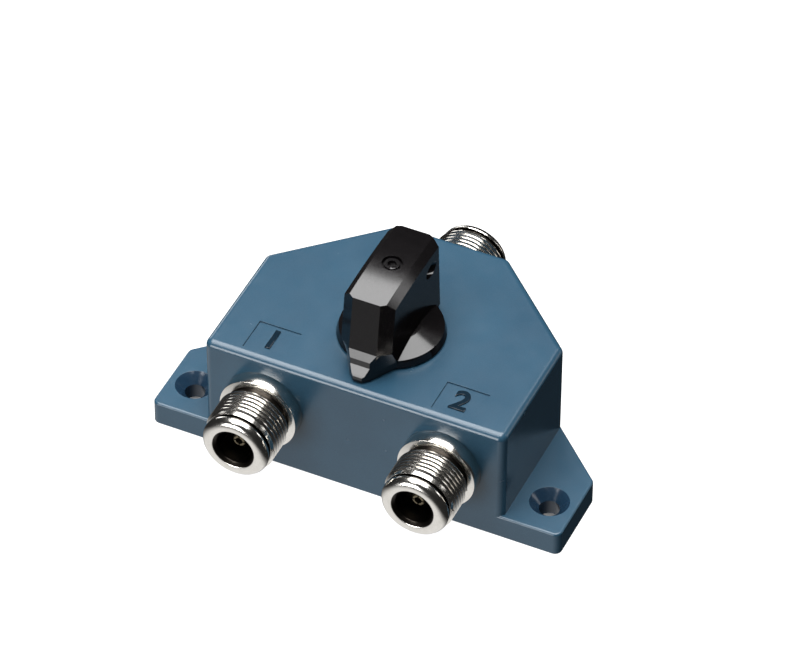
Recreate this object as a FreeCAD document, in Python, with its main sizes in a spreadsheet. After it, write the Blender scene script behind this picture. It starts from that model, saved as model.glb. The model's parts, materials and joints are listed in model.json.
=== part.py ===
import FreeCAD, Part
import os
import math
import Sketcher

# Coaxial antenna switch: a die-cast box with two ears, two jacks in front, the common jack behind,
# and a pointer knob that turns a blade between the three centre contacts.
# Frame: X right, Y to the rear, Z up; origin midway between the two mounting holes on the underside.

doc = FreeCAD.newDocument("coax_switch")

SIZES = [
    # housing
    ("body_wid", 68.2, "width of the box"),
    ("front_y", 8.5, "front face, this far in front of the mounting holes"),
    ("side_end_y", 21.3, "where the straight sides end and the slanted rear walls start"),
    ("rear_y", 41.6, "rear face"),
    ("rear_wid", 25.2, "width of the rear face"),
    ("body_hgt", 28.3, "height of the box"),
    ("wall_thk", 3.0, "walls"),
    ("roof_thk", 3.0, "roof"),
    ("corner_rad", 1.7, "upright corners of the box"),
    ("top_round", 1.5, "rounding of the top edge"),
    ("ear_thk", 5.6, "thickness of the ears"),
    ("ear_corner_rad", 1.6, "upright corners of the ears"),
    ("ear_edge_round", 0.5, "rounding of the ears' top edge"),
    ("hole_pitch", 81.7, "distance between the mounting holes"),
    ("ear_end", 5.95, "from a mounting hole to the end of its ear"),
    ("hole_dia", 4.4, "mounting holes"),
    ("sink_dia", 8.5, "countersinks of the mounting holes"),
    ("boss_rad", 12.0, "thick round place under the roof, around the shaft"),
    ("boss_thk", 3.0, "its thickness"),
    ("nozzle_rad", 2.3, "guide of the detent ball under that boss"),
    ("nozzle_len", 1.3, "its length"),
    ("post_rad", 3.2, "posts for the cover screws"),
    ("post_front_x", 27.4, "front posts"),
    ("post_front_y", 7.5, "front posts"),
    ("post_rear_x", 15.7, "rear posts"),
    ("post_rear_y", 29.6, "rear posts"),
    ("rear_sink", 2.9, "depth of the round sinking for the rear jack"),
    ("rear_sink_rad", 9.2, "its radius"),
    ("rear_pad_wid", 22.0, "thick place behind the rear jack"),
    # cover
    ("cover_thk", 2.0, "cover plate"),
    ("cover_inset", 0.2, "cover plate above the bottom rim"),
    ("cover_gap", 0.25, "cover plate to wall"),
    ("screw_rad", 1.45, "cover screws"),
    ("screw_head_rad", 2.75, "head of the cover screws"),
    ("screw_len", 8.0, "length of the cover screws"),
    ("screw_gap", 0.2, "cover screw in the plate's hole"),
    ("thread_gap", 0.05, "between a thread and what it is screwed into"),
    # jacks
    ("jack_x", 20.3, "front jacks, from the middle"),
    ("jack_drop", 12.6, "axis of all three jacks below the roof's top"),
    ("collar_rad", 8.7, "collar of a jack"),
    ("collar_len", 3.35, "its length"),
    ("undercut_rad", 7.2, "undercut behind the thread"),
    ("undercut_end", 4.6, "where the thread starts"),
    ("barrel_rad", 7.94, "threaded barrel, five eighths of an inch across"),
    ("barrel_end", 2.4, "where the thread ends, behind the front of the lip"),
    ("nick_rad", 7.0, "groove between the thread and the lip"),
    ("nick_len", 0.6, "its length"),
    ("lip_rad", 7.5, "lip"),
    ("lip_mid_rad", 7.3, "where its side turns inwards"),
    ("lip_round", 0.8, "how far that is behind its front"),
    ("lip_face_rad", 6.6, "its flat front"),
    ("jack_len", 14.8, "front of the lip, from the seat"),
    ("mouth_rad", 4.06, "bore of the jack"),
    ("mouth_flare", 0.64, "how much wider the bore starts"),
    ("mouth_end", 5.7, "floor of the bore, from the seat"),
    ("shank_rad", 6.35, "shank through the wall"),
    ("shank_len", 7.5, "its length behind the seat"),
    ("shank_gap", 0.05, "shank in the wall"),
    ("bead_rad", 3.45, "insulating bead inside the shank"),
    ("bead_gap", 0.05, "bead in the shank"),
    ("bead_flange_rad", 5.6, "flange of the bead"),
    ("bead_flange_len", 1.5, "its length"),
    ("contact_rad", 1.52, "centre contact"),
    ("contact_tip", 11.9, "its tip, from the seat"),
    ("contact_tail_rad", 1.2, "its tail"),
    ("contact_tail_len", 12.5, "end of the tail behind the seat"),
    ("socket_rad", 0.825, "hole in the contact"),
    ("socket_deep", 4.0, "depth of that hole"),
    ("socket_slit", 0.3, "slits of the contact"),
    ("washer_rad", 8.2, "lock washer of a jack"),
    ("washer_hole_rad", 6.5, "its hole"),
    ("washer_thk", 0.8, "its thickness"),
    ("nut_flats", 16.0, "inner nut of a jack, across the flats"),
    ("nut_thk", 2.5, "its thickness"),
    # shaft and its bearing
    ("axis_y", 10.4, "shaft axis behind the mounting holes"),
    ("shaft_rad", 3.0, "shaft"),
    ("shaft_down", 5.16, "lower end of the shaft below the jacks' axes"),
    ("shaft_up", 15.6, "upper end of the shaft above the roof"),
    ("shaft_gap", 0.03, "running fit of the shaft"),
    ("shaft_flat", 2.5, "flat of the shaft, from its axis"),
    ("bushing_rad", 4.5, "threaded bushing"),
    ("bushing_gap", 0.05, "bushing in the roof"),
    ("bushing_flange_rad", 6.5, "its flange"),
    ("bushing_flange_thk", 1.5, "thickness of the flange"),
    ("bushing_out", 2.1, "bushing above the roof"),
    ("bushing_washer_rad", 6.4, "washer on the roof"),
    ("bushing_washer_thk", 0.4, "its thickness"),
    ("bushing_nut_flats", 12.0, "nut on the roof, across the flats"),
    ("bushing_nut_thk", 1.6, "its thickness"),
    # detent and stop
    ("disc_rad", 11.5, "index disc"),
    ("disc_thk", 2.0, "its thickness"),
    ("disc_gap", 0.1, "index disc to the bushing"),
    ("turn_half", 60.0, "degrees the knob turns each way"),
    ("track_rad", 9.0, "radius on which the ball runs"),
    ("track_deep", 0.3, "depth of its track"),
    ("dimple_rad", 1.0, "dimples in the track"),
    ("dimple_deep", 0.7, "their depth under the disc's top"),
    ("ball_rad", 1.5, "detent ball"),
    ("ball_gap", 0.05, "ball in its guide and above its track"),
    ("ball_bore_deep", 6.0, "depth of the guide"),
    ("wire_rad", 0.2, "half the square wire of the detent spring"),
    ("spring_rad", 1.2, "mean radius of the detent spring"),
    ("spring_pitch", 0.85, "pitch of the detent spring"),
    ("pin_rad", 1.0, "stop pin"),
    ("pin_place", 8.5, "stop pin, from the shaft axis"),
    ("pin_gap", 0.1, "stop pin in its slot"),
    ("pin_hold", 2.7, "stop pin inside the roof"),
    # rotor and contacts
    ("blade_thk", 0.8, "wiper blade"),
    ("blade_ring_rad", 9.0, "its ring"),
    ("blade_reach", 14.5, "its arm, from the axis"),
    ("blade_wid", 5.0, "width of the arm"),
    ("neck_rad", 5.0, "neck of the hub"),
    ("neck_flat", 4.2, "flat of the neck, from the axis"),
    ("hub_rad", 5.9, "flange of the hub"),
    ("collar_ring_rad", 6.5, "collar under the blade"),
    ("neck_down", 3.46, "lower end of the neck below the jacks' axes"),
    ("key_gap", 0.03, "blade and collar on the neck"),
    ("clip_rad", 5.6, "retaining clip"),
    ("clip_thk", 0.7, "its thickness"),
    ("clip_groove_rad", 2.4, "bottom of its groove"),
    ("clip_gap", 0.05, "clip in its groove"),
    ("leaf_thk", 0.5, "leaves of the forks"),
    ("leaf_gap", 0.08, "leaf to blade"),
    ("leaf_flare", 0.35, "how far the tips of the leaves bend away"),
    ("fork_wid", 5.0, "block of a fork"),
    ("fork_deep", 3.0, "block of a fork, along its contact"),
    ("fork_hgt", 4.0, "height of the block"),
    ("fork_back", 0.6, "wall that closes the rear fork's hole"),
    ("fork_end_gap", 0.1, "contact to that wall"),
    ("fork_side_tip", 9.5, "tips of the side forks, from the middle"),
    ("fork_rear_tip", 6.9, "tip of the rear fork, from the shaft axis"),
    # knob, heights from the roof
    ("knob_lift", 0.5, "skirt above the roof"),
    ("skirt_rad", 11.5, "foot of the skirt"),
    ("skirt_top_rad", 11.0, "top of the skirt's rim"),
    ("skirt_top", 2.2, "height of the rim"),
    ("cone_rad", 6.5, "inner end of the sloping top of the skirt"),
    ("cone_top", 3.6, "height there"),
    ("bar_half", 5.75, "half width of the bar"),
    ("bar_edge", 1.6, "chamfers along the top of the bar"),
    ("bar_top", 19.5, "top of the bar"),
    ("bar_arch", 0.5, "how much the front end of the top lies lower"),
    ("bar_end", 12.3, "front of the bar at its top, from the axis"),
    ("bar_foot", 14.15, "front of the bar at its foot"),
    ("bar_rear_end", 11.6, "rear of the bar at its top"),
    ("bar_rear_foot", 12.7, "rear of the bar at its foot"),
    ("bar_facet_side", 2.65, "corner facets of the bar, across"),
    ("bar_facet_deep", 1.9, "front corner facets, along"),
    ("bar_rear_facet", 1.2, "rear corner facets, along"),
    ("ledge_hgt", 6.5, "sloping ledge in front of the bar, at the bar"),
    ("ledge_low", 5.35, "at its front"),
    ("ledge_end", 15.5, "front of the ledge"),
    ("ledge_step", 1.6, "step down in front of the ledge"),
    ("nose_low_y", 16.4, "front end of the nose's slope"),
    ("nose_low", 1.9, "height there"),
    ("nose_end", 16.8, "tip of the nose"),
    ("nose_root_y", 9.75, "root of the nose's flanks"),
    ("nose_tip_y", 15.4, "where the tip's rounding starts"),
    ("nose_tip_half", 2.4, "half width there"),
    ("nose_nip_half", 1.0, "half width of the tip's front"),
    ("top_hole_rad", 2.2, "round sinking on the bar"),
    ("top_hole_deep", 0.9, "its depth"),
    ("button_rad", 1.65, "ring standing in it"),
    ("button_hole_rad", 0.95, "hole of the ring"),
    ("button_hgt", 0.75, "height of the ring"),
    ("under_rad", 7.3, "hollow under the skirt"),
    ("under_top", 2.5, "height of the hollow's ceiling"),
    ("insert_rad", 4.4, "brass insert"),
    ("insert_low", 4.2, "its lower end"),
    ("insert_top", 16.4, "its upper end"),
    ("grub_rad", 1.5, "set screw"),
    ("grub_hole_rad", 1.6, "its hole in the knob"),
    ("grub_hgt", 14.0, "its height"),
    ("grub_len", 4.0, "its length"),
    ("grub_turn", 50.0, "its direction, degrees from X towards Y"),
    ("grub_key", 1.5, "its hexagon socket, across the flats"),
]

sheet = doc.addObject("Spreadsheet::Sheet", "Sizes")
for row, (alias, number, meaning) in enumerate(SIZES, 1):
    sheet.set("A%d" % row, alias)
    sheet.set("B%d" % row, str(number))
    sheet.setAlias("B%d" % row, alias)
    sheet.set("C%d" % row, meaning)
doc.recompute()


# ---- helpers: everything they draw is bound to the sheet -------------------------------------------
def number_of(text):
    """Value of an expression on the sheet's sizes."""
    return float(sheet.evalExpression(text.replace("Sizes.", "")))


def new_body(name, x="0", y="0", z="0", turn=None):
    """A body with its own placement; x, y and z are expressions."""
    body = doc.addObject("PartDesign::Body", name)
    body.Label = name
    if turn is not None:
        body.Placement = FreeCAD.Placement(FreeCAD.Vector(0, 0, 0), turn)
    for letter, text in (("x", x), ("y", y), ("z", z)):
        body.setExpression("Placement.Base." + letter, text)
    return body


def new_sketch(body, plane, name, offset="0"):
    """A sketch on one of the body's own planes, moved along the plane's normal."""
    sketch = body.newObject("Sketcher::SketchObject", body.Name + "_" + name)
    support = [item for item in body.Origin.OriginFeatures if item.Role == plane][0]
    sketch.AttachmentSupport = (support, [""])
    sketch.MapMode = "FlatFace"
    sketch.setExpression("AttachmentOffset.Base.z", offset)
    return sketch


def bind(sketch, kind, places, text):
    """One dimension of a sketch, driven by an expression."""
    value = number_of(text)
    if kind in ("DistanceX", "DistanceY") and abs(value) < 1e-9:
        axis = -2 if kind == "DistanceX" else -1
        sketch.addConstraint(Sketcher.Constraint("PointOnObject", places[0], places[1], axis))
        return
    index = sketch.addConstraint(Sketcher.Constraint(kind, *places, value))
    label = "%s_%d" % (kind, index)
    sketch.renameConstraint(index, label)
    sketch.setExpression("Constraints." + label, text)


def draw_outline(sketch, corners):
    """A closed outline with straight sides through corners given as pairs of expressions."""
    first = sketch.GeometryCount
    count = len(corners)
    spots = [FreeCAD.Vector(number_of(x), number_of(y), 0) for x, y in corners]
    for i in range(count):
        sketch.addGeometry(Part.LineSegment(spots[i], spots[(i + 1) % count]))
    for i in range(count):
        after = first + (i + 1) % count
        sketch.addConstraint(Sketcher.Constraint("Coincident", first + i, 2, after, 1))
    for i, (x, y) in enumerate(corners):
        bind(sketch, "DistanceX", (first + i, 1), x)
        bind(sketch, "DistanceY", (first + i, 1), y)


def draw_circle(sketch, x, y, radius):
    """A circle given by expressions."""
    centre = FreeCAD.Vector(number_of(x), number_of(y), 0)
    circle = Part.Circle(centre, FreeCAD.Vector(0, 0, 1), number_of(radius))
    index = sketch.addGeometry(circle)
    bind(sketch, "DistanceX", (index, 3), x)
    bind(sketch, "DistanceY", (index, 3), y)
    bind(sketch, "Radius", (index,), radius)


def draw_hexagon(sketch, flats):
    """A hexagon around the origin with two sides parallel to X."""
    far = "%s / sqrt(3)" % flats
    near = "%s / sqrt(12)" % flats
    half = "%s / 2" % flats
    draw_outline(sketch, [(far, "0"), (near, half), ("-" + near, half),
                          ("-" + far, "0"), ("-" + near, "-" + half), (near, "-" + half)])


def draw_flatted_circle(sketch, radius, flat):
    """A circle around the origin whose +Y side is cut straight."""
    size = number_of(radius)
    cut = number_of(flat)
    angle = math.asin(cut / size)
    full = Part.Circle(FreeCAD.Vector(0, 0, 0), FreeCAD.Vector(0, 0, 1), size)
    arc = sketch.addGeometry(Part.ArcOfCircle(full, math.pi - angle, 2 * math.pi + angle))
    half = math.sqrt(size ** 2 - cut ** 2)
    line = sketch.addGeometry(Part.LineSegment(FreeCAD.Vector(half, cut, 0),
                                               FreeCAD.Vector(-half, cut, 0)))
    sketch.addConstraint(Sketcher.Constraint("Coincident", arc, 3, -1, 1))
    sketch.addConstraint(Sketcher.Constraint("Coincident", arc, 2, line, 1))
    sketch.addConstraint(Sketcher.Constraint("Coincident", arc, 1, line, 2))
    sketch.addConstraint(Sketcher.Constraint("Horizontal", line))
    bind(sketch, "Radius", (arc,), radius)
    bind(sketch, "DistanceY", (line, 1), flat)


def solid_volume(body):
    """Volume of the body so far."""
    return body.Tip.Shape.Volume if body.Tip else 0.0


def extrude(body, kind, sketch, length, flip, both_ways=False):
    """A pad or a pocket; a pocket that takes nothing away is an error."""
    doc.recompute()
    before = solid_volume(body)
    feature = body.newObject("PartDesign::" + kind, sketch.Name + "_" + kind.lower())
    feature.Profile = sketch
    feature.setExpression("Length", length)
    feature.Reversed = flip
    if both_ways:
        feature.SideType = "Symmetric"
    sketch.Visibility = False
    doc.recompute()
    if kind == "Pocket" and feature.Shape.Volume > before - 1e-3:
        raise ValueError(sketch.Name + " cuts nothing")
    return feature


def pad(body, sketch, length, flip=False, both_ways=False):
    return extrude(body, "Pad", sketch, length, flip, both_ways)


def pocket(body, sketch, length, flip=False, both_ways=False):
    return extrude(body, "Pocket", sketch, length, flip, both_ways)


def revolve(body, sketch, kind="Revolution", angle="360"):
    """Turns a sketch about its own upright axis."""
    feature = body.newObject("PartDesign::" + kind, sketch.Name + "_turned")
    feature.Profile = sketch
    feature.ReferenceAxis = (sketch, ["V_Axis"])
    feature.setExpression("Angle", angle)
    sketch.Visibility = False
    return feature


def turned_body(name, profile, x="0", y="0", z="0", turn=None):
    """A body of revolution; the profile is given as pairs of radius and height."""
    body = new_body(name, x, y, z, turn)
    sketch = new_sketch(body, "XZ_Plane", "profile")
    draw_outline(sketch, profile)
    revolve(body, sketch)
    doc.recompute()
    return body


def dress(body, kind, wanted, size):
    """A fillet or a chamfer on the edges for which wanted(edge) holds."""
    doc.recompute()
    base = body.Tip
    names = ["Edge%d" % (i + 1) for i, edge in enumerate(base.Shape.Edges) if wanted(edge)]
    if not names:
        raise ValueError(body.Name + ": no edge found for the " + kind.lower())
    label = "%s_%s_%d" % (body.Name, kind.lower(), len(body.Group))
    feature = body.newObject("PartDesign::" + kind, label)
    feature.Base = (base, names)
    feature.setExpression("Radius" if kind == "Fillet" else "Size", size)
    doc.recompute()
    return feature


def middle(edge):
    """Point halfway along an edge."""
    return edge.valueAt((edge.FirstParameter + edge.LastParameter) / 2)


def upright(edge):
    """True for a straight edge along Z."""
    line = edge.Curve.TypeId == "Part::GeomLine"
    return line and abs(abs(edge.tangentAt(edge.FirstParameter).z) - 1) < 1e-6


def near(one, two, slack=0.01):
    return abs(one - two) < slack


# heights that several pieces share
jack_z = "(Sizes.body_hgt - Sizes.jack_drop)"
shaft_low = "(%s - Sizes.shaft_down)" % jack_z
shaft_top = "(Sizes.body_hgt + Sizes.shaft_up)"
neck_low = "(%s - Sizes.neck_down)" % jack_z


# ---- housing ---------------------------------------------------------------------------------------
def box_outline(inset):
    """The six-sided outline, moved inwards by an expression."""
    run = "(Sizes.body_wid / 2 - Sizes.rear_wid / 2)"
    rise = "(Sizes.rear_y - Sizes.side_end_y)"
    slant = "sqrt(%s ^ 2 + %s ^ 2)" % (run, rise)
    side_x = "(Sizes.body_wid / 2 - %s)" % inset
    front = "-Sizes.front_y + %s" % inset
    rear = "Sizes.rear_y - %s" % inset
    side_y = "Sizes.side_end_y - %s * (%s - %s) / %s" % (inset, slant, rise, run)
    rear_x = "(Sizes.rear_wid / 2 - %s * (%s - %s) / %s)" % (inset, slant, run, rise)
    return [("-" + side_x, front), (side_x, front), (side_x, side_y),
            (rear_x, rear), ("-" + rear_x, rear), ("-" + side_x, side_y)]


housing = new_body("housing")

# foot with both ears; the ears' slanted sides continue the slanted rear walls
foot = new_sketch(housing, "XY_Plane", "foot")
ear_x = "(Sizes.hole_pitch / 2 + Sizes.ear_end)"
ear_y = ("Sizes.side_end_y - (%s - Sizes.body_wid / 2) * (Sizes.rear_y - Sizes.side_end_y)"
         " / (Sizes.body_wid / 2 - Sizes.rear_wid / 2)" % ear_x)
draw_outline(foot, [("-" + ear_x, "-Sizes.front_y"), (ear_x, "-Sizes.front_y"), (ear_x, ear_y),
                    ("Sizes.rear_wid / 2", "Sizes.rear_y"), ("-Sizes.rear_wid / 2", "Sizes.rear_y"),
                    ("-" + ear_x, ear_y)])
pad(housing, foot, "Sizes.ear_thk")

block = new_sketch(housing, "XY_Plane", "block")
draw_outline(block, box_outline("0"))
pad(housing, block, "Sizes.body_hgt")

half_box = number_of("body_wid / 2")
half_ears = number_of(ear_x)
box_top = number_of("body_hgt")
ear_top = number_of("ear_thk")

dress(housing, "Fillet", lambda edge: upright(edge) and abs(middle(edge).x) < half_box + 0.01,
      "Sizes.corner_rad")
dress(housing, "Fillet", lambda edge: upright(edge) and near(abs(middle(edge).x), half_ears),
      "Sizes.ear_corner_rad")
dress(housing, "Fillet", lambda edge: near(middle(edge).z, box_top), "Sizes.top_round")
dress(housing, "Fillet",
      lambda edge: near(middle(edge).z, ear_top) and abs(middle(edge).x) > half_box + 1,
      "Sizes.ear_edge_round")

cavity = new_sketch(housing, "XY_Plane", "cavity")
draw_outline(cavity, box_outline("Sizes.wall_thk"))
pocket(housing, cavity, "Sizes.body_hgt - Sizes.roof_thk", flip=True)

boss_low = "(Sizes.body_hgt - Sizes.roof_thk - Sizes.boss_thk)"
boss = new_sketch(housing, "XY_Plane", "boss", boss_low)
draw_circle(boss, "0", "Sizes.axis_y", "Sizes.boss_rad")
pad(housing, boss, "Sizes.boss_thk + 0.1")

nozzle = new_sketch(housing, "XY_Plane", "nozzle", boss_low + " - Sizes.nozzle_len")
draw_circle(nozzle, "0", "Sizes.axis_y - Sizes.track_rad", "Sizes.nozzle_rad")
pad(housing, nozzle, "Sizes.nozzle_len + 0.1")

cover_top = "(Sizes.cover_inset + Sizes.cover_thk)"
posts = new_sketch(housing, "XY_Plane", "posts", cover_top)
POSTS = [("Sizes.post_front_x", "Sizes.post_front_y"), ("-Sizes.post_front_x", "Sizes.post_front_y"),
         ("Sizes.post_rear_x", "Sizes.post_rear_y"), ("-Sizes.post_rear_x", "Sizes.post_rear_y")]
for x, y in POSTS:
    draw_circle(posts, x, y, "Sizes.post_rad")
pad(housing, posts, "Sizes.body_hgt - Sizes.roof_thk - %s + 0.1" % cover_top)

# thick place behind the rear jack, so that its wall is as thick as in front
rear_seat = "(Sizes.rear_y - Sizes.rear_sink)"
rear_pad = new_sketch(housing, "XY_Plane", "rear_pad", cover_top + " + 0.2")
pad_y = rear_seat + " - Sizes.wall_thk"
pad_x = "Sizes.rear_pad_wid / 2"
draw_outline(rear_pad, [("-" + pad_x, pad_y), (pad_x, pad_y), (pad_x, "Sizes.rear_y - 1"),
                        ("-" + pad_x, "Sizes.rear_y - 1")])
pad(housing, rear_pad, "Sizes.body_hgt - Sizes.roof_thk - %s - 0.1" % cover_top)

sinking = new_sketch(housing, "XZ_Plane", "sinking", "-Sizes.rear_y")
draw_circle(sinking, "0", jack_z, "Sizes.rear_sink_rad")
pocket(housing, sinking, "Sizes.rear_sink", flip=True)

jack_hole = "Sizes.shank_rad + Sizes.shank_gap"
rear_hole = new_sketch(housing, "XZ_Plane", "rear_hole", "-Sizes.rear_y")
draw_circle(rear_hole, "0", jack_z, jack_hole)
pocket(housing, rear_hole, "Sizes.rear_sink + Sizes.wall_thk + 1", flip=True)

front_holes = new_sketch(housing, "XZ_Plane", "front_holes", "Sizes.front_y")
for x in ("Sizes.jack_x", "-Sizes.jack_x"):
    draw_circle(front_holes, x, jack_z, jack_hole)
pocket(housing, front_holes, "Sizes.wall_thk + 1")

shaft_hole = new_sketch(housing, "XY_Plane", "shaft_hole", "Sizes.body_hgt")
draw_circle(shaft_hole, "0", "Sizes.axis_y", "Sizes.bushing_rad + Sizes.bushing_gap")
pocket(housing, shaft_hole, "Sizes.roof_thk + Sizes.boss_thk + 1")

ball_bore = new_sketch(housing, "XY_Plane", "ball_bore", boss_low + " - Sizes.nozzle_len")
draw_circle(ball_bore, "0", "Sizes.axis_y - Sizes.track_rad", "Sizes.ball_rad + Sizes.ball_gap")
pocket(housing, ball_bore, "Sizes.ball_bore_deep", flip=True)

pin_bore = new_sketch(housing, "XY_Plane", "pin_bore", boss_low)
draw_circle(pin_bore, "0", "Sizes.axis_y + Sizes.pin_place", "Sizes.pin_rad")
pocket(housing, pin_bore, "Sizes.pin_hold", flip=True)

post_holes = new_sketch(housing, "XY_Plane", "post_holes", cover_top)
for x, y in POSTS:
    draw_circle(post_holes, x, y, "Sizes.screw_rad + Sizes.thread_gap")
pocket(housing, post_holes, "Sizes.screw_len", flip=True)

ear_holes = new_sketch(housing, "XY_Plane", "ear_holes", "Sizes.ear_thk")
for x in ("Sizes.hole_pitch / 2", "-Sizes.hole_pitch / 2"):
    draw_circle(ear_holes, x, "0", "Sizes.hole_dia / 2")
doc.recompute()
ears_drilled = housing.newObject("PartDesign::Hole", "ears_drilled")
ears_drilled.Profile = ear_holes
ears_drilled.ThreadType = "None"
ears_drilled.DepthType = "ThroughAll"
ears_drilled.HoleCutType = "Countersink"
ears_drilled.HoleCutCustomValues = True
ears_drilled.setExpression("Diameter", "Sizes.hole_dia")
ears_drilled.setExpression("HoleCutDiameter", "Sizes.sink_dia")
ears_drilled.HoleCutCountersinkAngle = 90
doc.recompute()

# ---- cover plate and its screws --------------------------------------------------------------------
cover = new_body("cover_plate", z="Sizes.cover_inset")
plate = new_sketch(cover, "XY_Plane", "plate")
draw_outline(plate, box_outline("(Sizes.wall_thk + Sizes.cover_gap)"))
pad(cover, plate, "Sizes.cover_thk")
plate_holes = new_sketch(cover, "XY_Plane", "holes")
for x, y in POSTS:
    draw_circle(plate_holes, x, y, "Sizes.screw_rad + Sizes.screw_gap")
doc.recompute()
plate_drilled = cover.newObject("PartDesign::Hole", "plate_drilled")
plate_drilled.Profile = plate_holes
plate_drilled.ThreadType = "None"
plate_drilled.DepthType = "ThroughAll"
plate_drilled.HoleCutType = "Countersink"
plate_drilled.HoleCutCustomValues = True
plate_drilled.Reversed = True
plate_drilled.setExpression("Diameter", "2 * (Sizes.screw_rad + Sizes.screw_gap)")
plate_drilled.setExpression("HoleCutDiameter", "2 * (Sizes.screw_head_rad + Sizes.screw_gap)")
plate_drilled.HoleCutCountersinkAngle = 90
doc.recompute()

for place, (x, y) in enumerate(POSTS, 1):
    screw = turned_body("cover_screw_%d" % place,
                        [("0", "0"), ("Sizes.screw_head_rad", "0"),
                         ("Sizes.screw_rad", "Sizes.screw_head_rad - Sizes.screw_rad"),
                         ("Sizes.screw_rad", "Sizes.screw_len - 0.6"),
                         ("Sizes.screw_rad - 0.5", "Sizes.screw_len"), ("0", "Sizes.screw_len")],
                        x, y, "Sizes.cover_inset")
    cross = new_sketch(screw, "XY_Plane", "cross")
    arm, half = "Sizes.screw_head_rad * 0.6", "0.35"
    draw_outline(cross, [(arm, "-" + half), (arm, half), (half, half), (half, arm),
                         ("-" + half, arm), ("-" + half, half), ("-" + arm, half),
                         ("-" + arm, "-" + half), ("-" + half, "-" + half), ("-" + half, "-" + arm),
                         (half, "-" + arm), (half, "-" + half)])
    pocket(screw, cross, "0.9", flip=True)

# ---- jacks: heights run outwards from the seat on the wall -----------------------------------------
TO_FRONT = FreeCAD.Rotation(FreeCAD.Vector(1, 0, 0), 90)
TO_REAR = FreeCAD.Rotation(FreeCAD.Vector(1, 0, 0), -90)
JACKS = [("1", "-Sizes.jack_x", "-Sizes.front_y", TO_FRONT),
         ("2", "Sizes.jack_x", "-Sizes.front_y", TO_FRONT),
         ("common", "0", rear_seat, TO_REAR)]

for key, x, y, turn in JACKS:
    place = (x, y, jack_z, turn)
    bead_hole = "Sizes.bead_rad + Sizes.bead_gap"
    thread_end = "Sizes.jack_len - Sizes.barrel_end"
    turned_body("jack_body_" + key, [
        (bead_hole, "-Sizes.shank_len"), ("Sizes.shank_rad - 0.5", "-Sizes.shank_len"),
        ("Sizes.shank_rad", "-Sizes.shank_len + 0.5"), ("Sizes.shank_rad", "0"),
        ("Sizes.collar_rad", "0"), ("Sizes.collar_rad", "Sizes.collar_len - 0.3"),
        ("Sizes.collar_rad - 0.3", "Sizes.collar_len"), ("Sizes.undercut_rad", "Sizes.collar_len"),
        ("Sizes.undercut_rad", "Sizes.undercut_end"), ("Sizes.barrel_rad", "Sizes.undercut_end"),
        ("Sizes.barrel_rad", thread_end), ("Sizes.nick_rad", thread_end),
        ("Sizes.nick_rad", thread_end + " + Sizes.nick_len"),
        ("Sizes.lip_rad", thread_end + " + Sizes.nick_len"),
        ("Sizes.lip_mid_rad", "Sizes.jack_len - Sizes.lip_round"),
        ("Sizes.lip_face_rad", "Sizes.jack_len"),
        ("Sizes.mouth_rad + Sizes.mouth_flare", "Sizes.jack_len"),
        ("Sizes.mouth_rad", "Sizes.jack_len - Sizes.mouth_flare"),
        ("Sizes.mouth_rad", "Sizes.mouth_end"), (bead_hole, "Sizes.mouth_end")], *place)
    contact_hole = "Sizes.contact_rad"
    turned_body("jack_insulator_" + key, [
        ("Sizes.contact_tail_rad", "-Sizes.shank_len - Sizes.bead_flange_len"),
        ("Sizes.bead_flange_rad", "-Sizes.shank_len - Sizes.bead_flange_len"),
        ("Sizes.bead_flange_rad", "-Sizes.shank_len"), ("Sizes.bead_rad", "-Sizes.shank_len"),
        ("Sizes.bead_rad", "Sizes.mouth_end"), (contact_hole, "Sizes.mouth_end"),
        (contact_hole, "-2"), ("Sizes.contact_tail_rad", "-2")], *place)

    contact = turned_body("jack_contact_" + key, [
        ("0", "-Sizes.contact_tail_len"), ("Sizes.contact_tail_rad", "-Sizes.contact_tail_len"),
        ("Sizes.contact_tail_rad", "-2"), ("Sizes.contact_rad", "-2"),
        ("Sizes.contact_rad", "Sizes.contact_tip - 0.3"),
        ("Sizes.contact_rad - 0.3", "Sizes.contact_tip"), ("Sizes.socket_rad", "Sizes.contact_tip"),
        ("Sizes.socket_rad", "Sizes.contact_tip - Sizes.socket_deep"),
        ("0", "Sizes.contact_tip - Sizes.socket_deep")], *place)
    slits = new_sketch(contact, "XY_Plane", "slits", "Sizes.contact_tip")
    half, reach = "Sizes.socket_slit / 2", "Sizes.contact_rad + 0.2"
    draw_outline(slits, [(reach, "-" + half), (reach, half), (half, half), (half, reach),
                         ("-" + half, reach), ("-" + half, half), ("-(%s)" % reach, half),
                         ("-(%s)" % reach, "-" + half), ("-" + half, "-" + half),
                         ("-" + half, "-(%s)" % reach), (half, "-(%s)" % reach),
                         (half, "-" + half)])
    pocket(contact, slits, "Sizes.socket_deep - 0.6")

    turned_body("jack_washer_" + key, [
        ("Sizes.washer_hole_rad", "-Sizes.wall_thk - Sizes.washer_thk"),
        ("Sizes.washer_rad", "-Sizes.wall_thk - Sizes.washer_thk"),
        ("Sizes.washer_rad", "-Sizes.wall_thk"), ("Sizes.washer_hole_rad", "-Sizes.wall_thk")],
        *place)

    nut = new_body("jack_nut_" + key, *place)
    hexagon = new_sketch(nut, "XY_Plane", "hexagon", "-Sizes.wall_thk - Sizes.washer_thk")
    draw_hexagon(hexagon, "Sizes.nut_flats")
    draw_circle(hexagon, "0", "0", "Sizes.shank_rad + Sizes.thread_gap")
    pad(nut, hexagon, "Sizes.nut_thk", flip=True)

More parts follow.
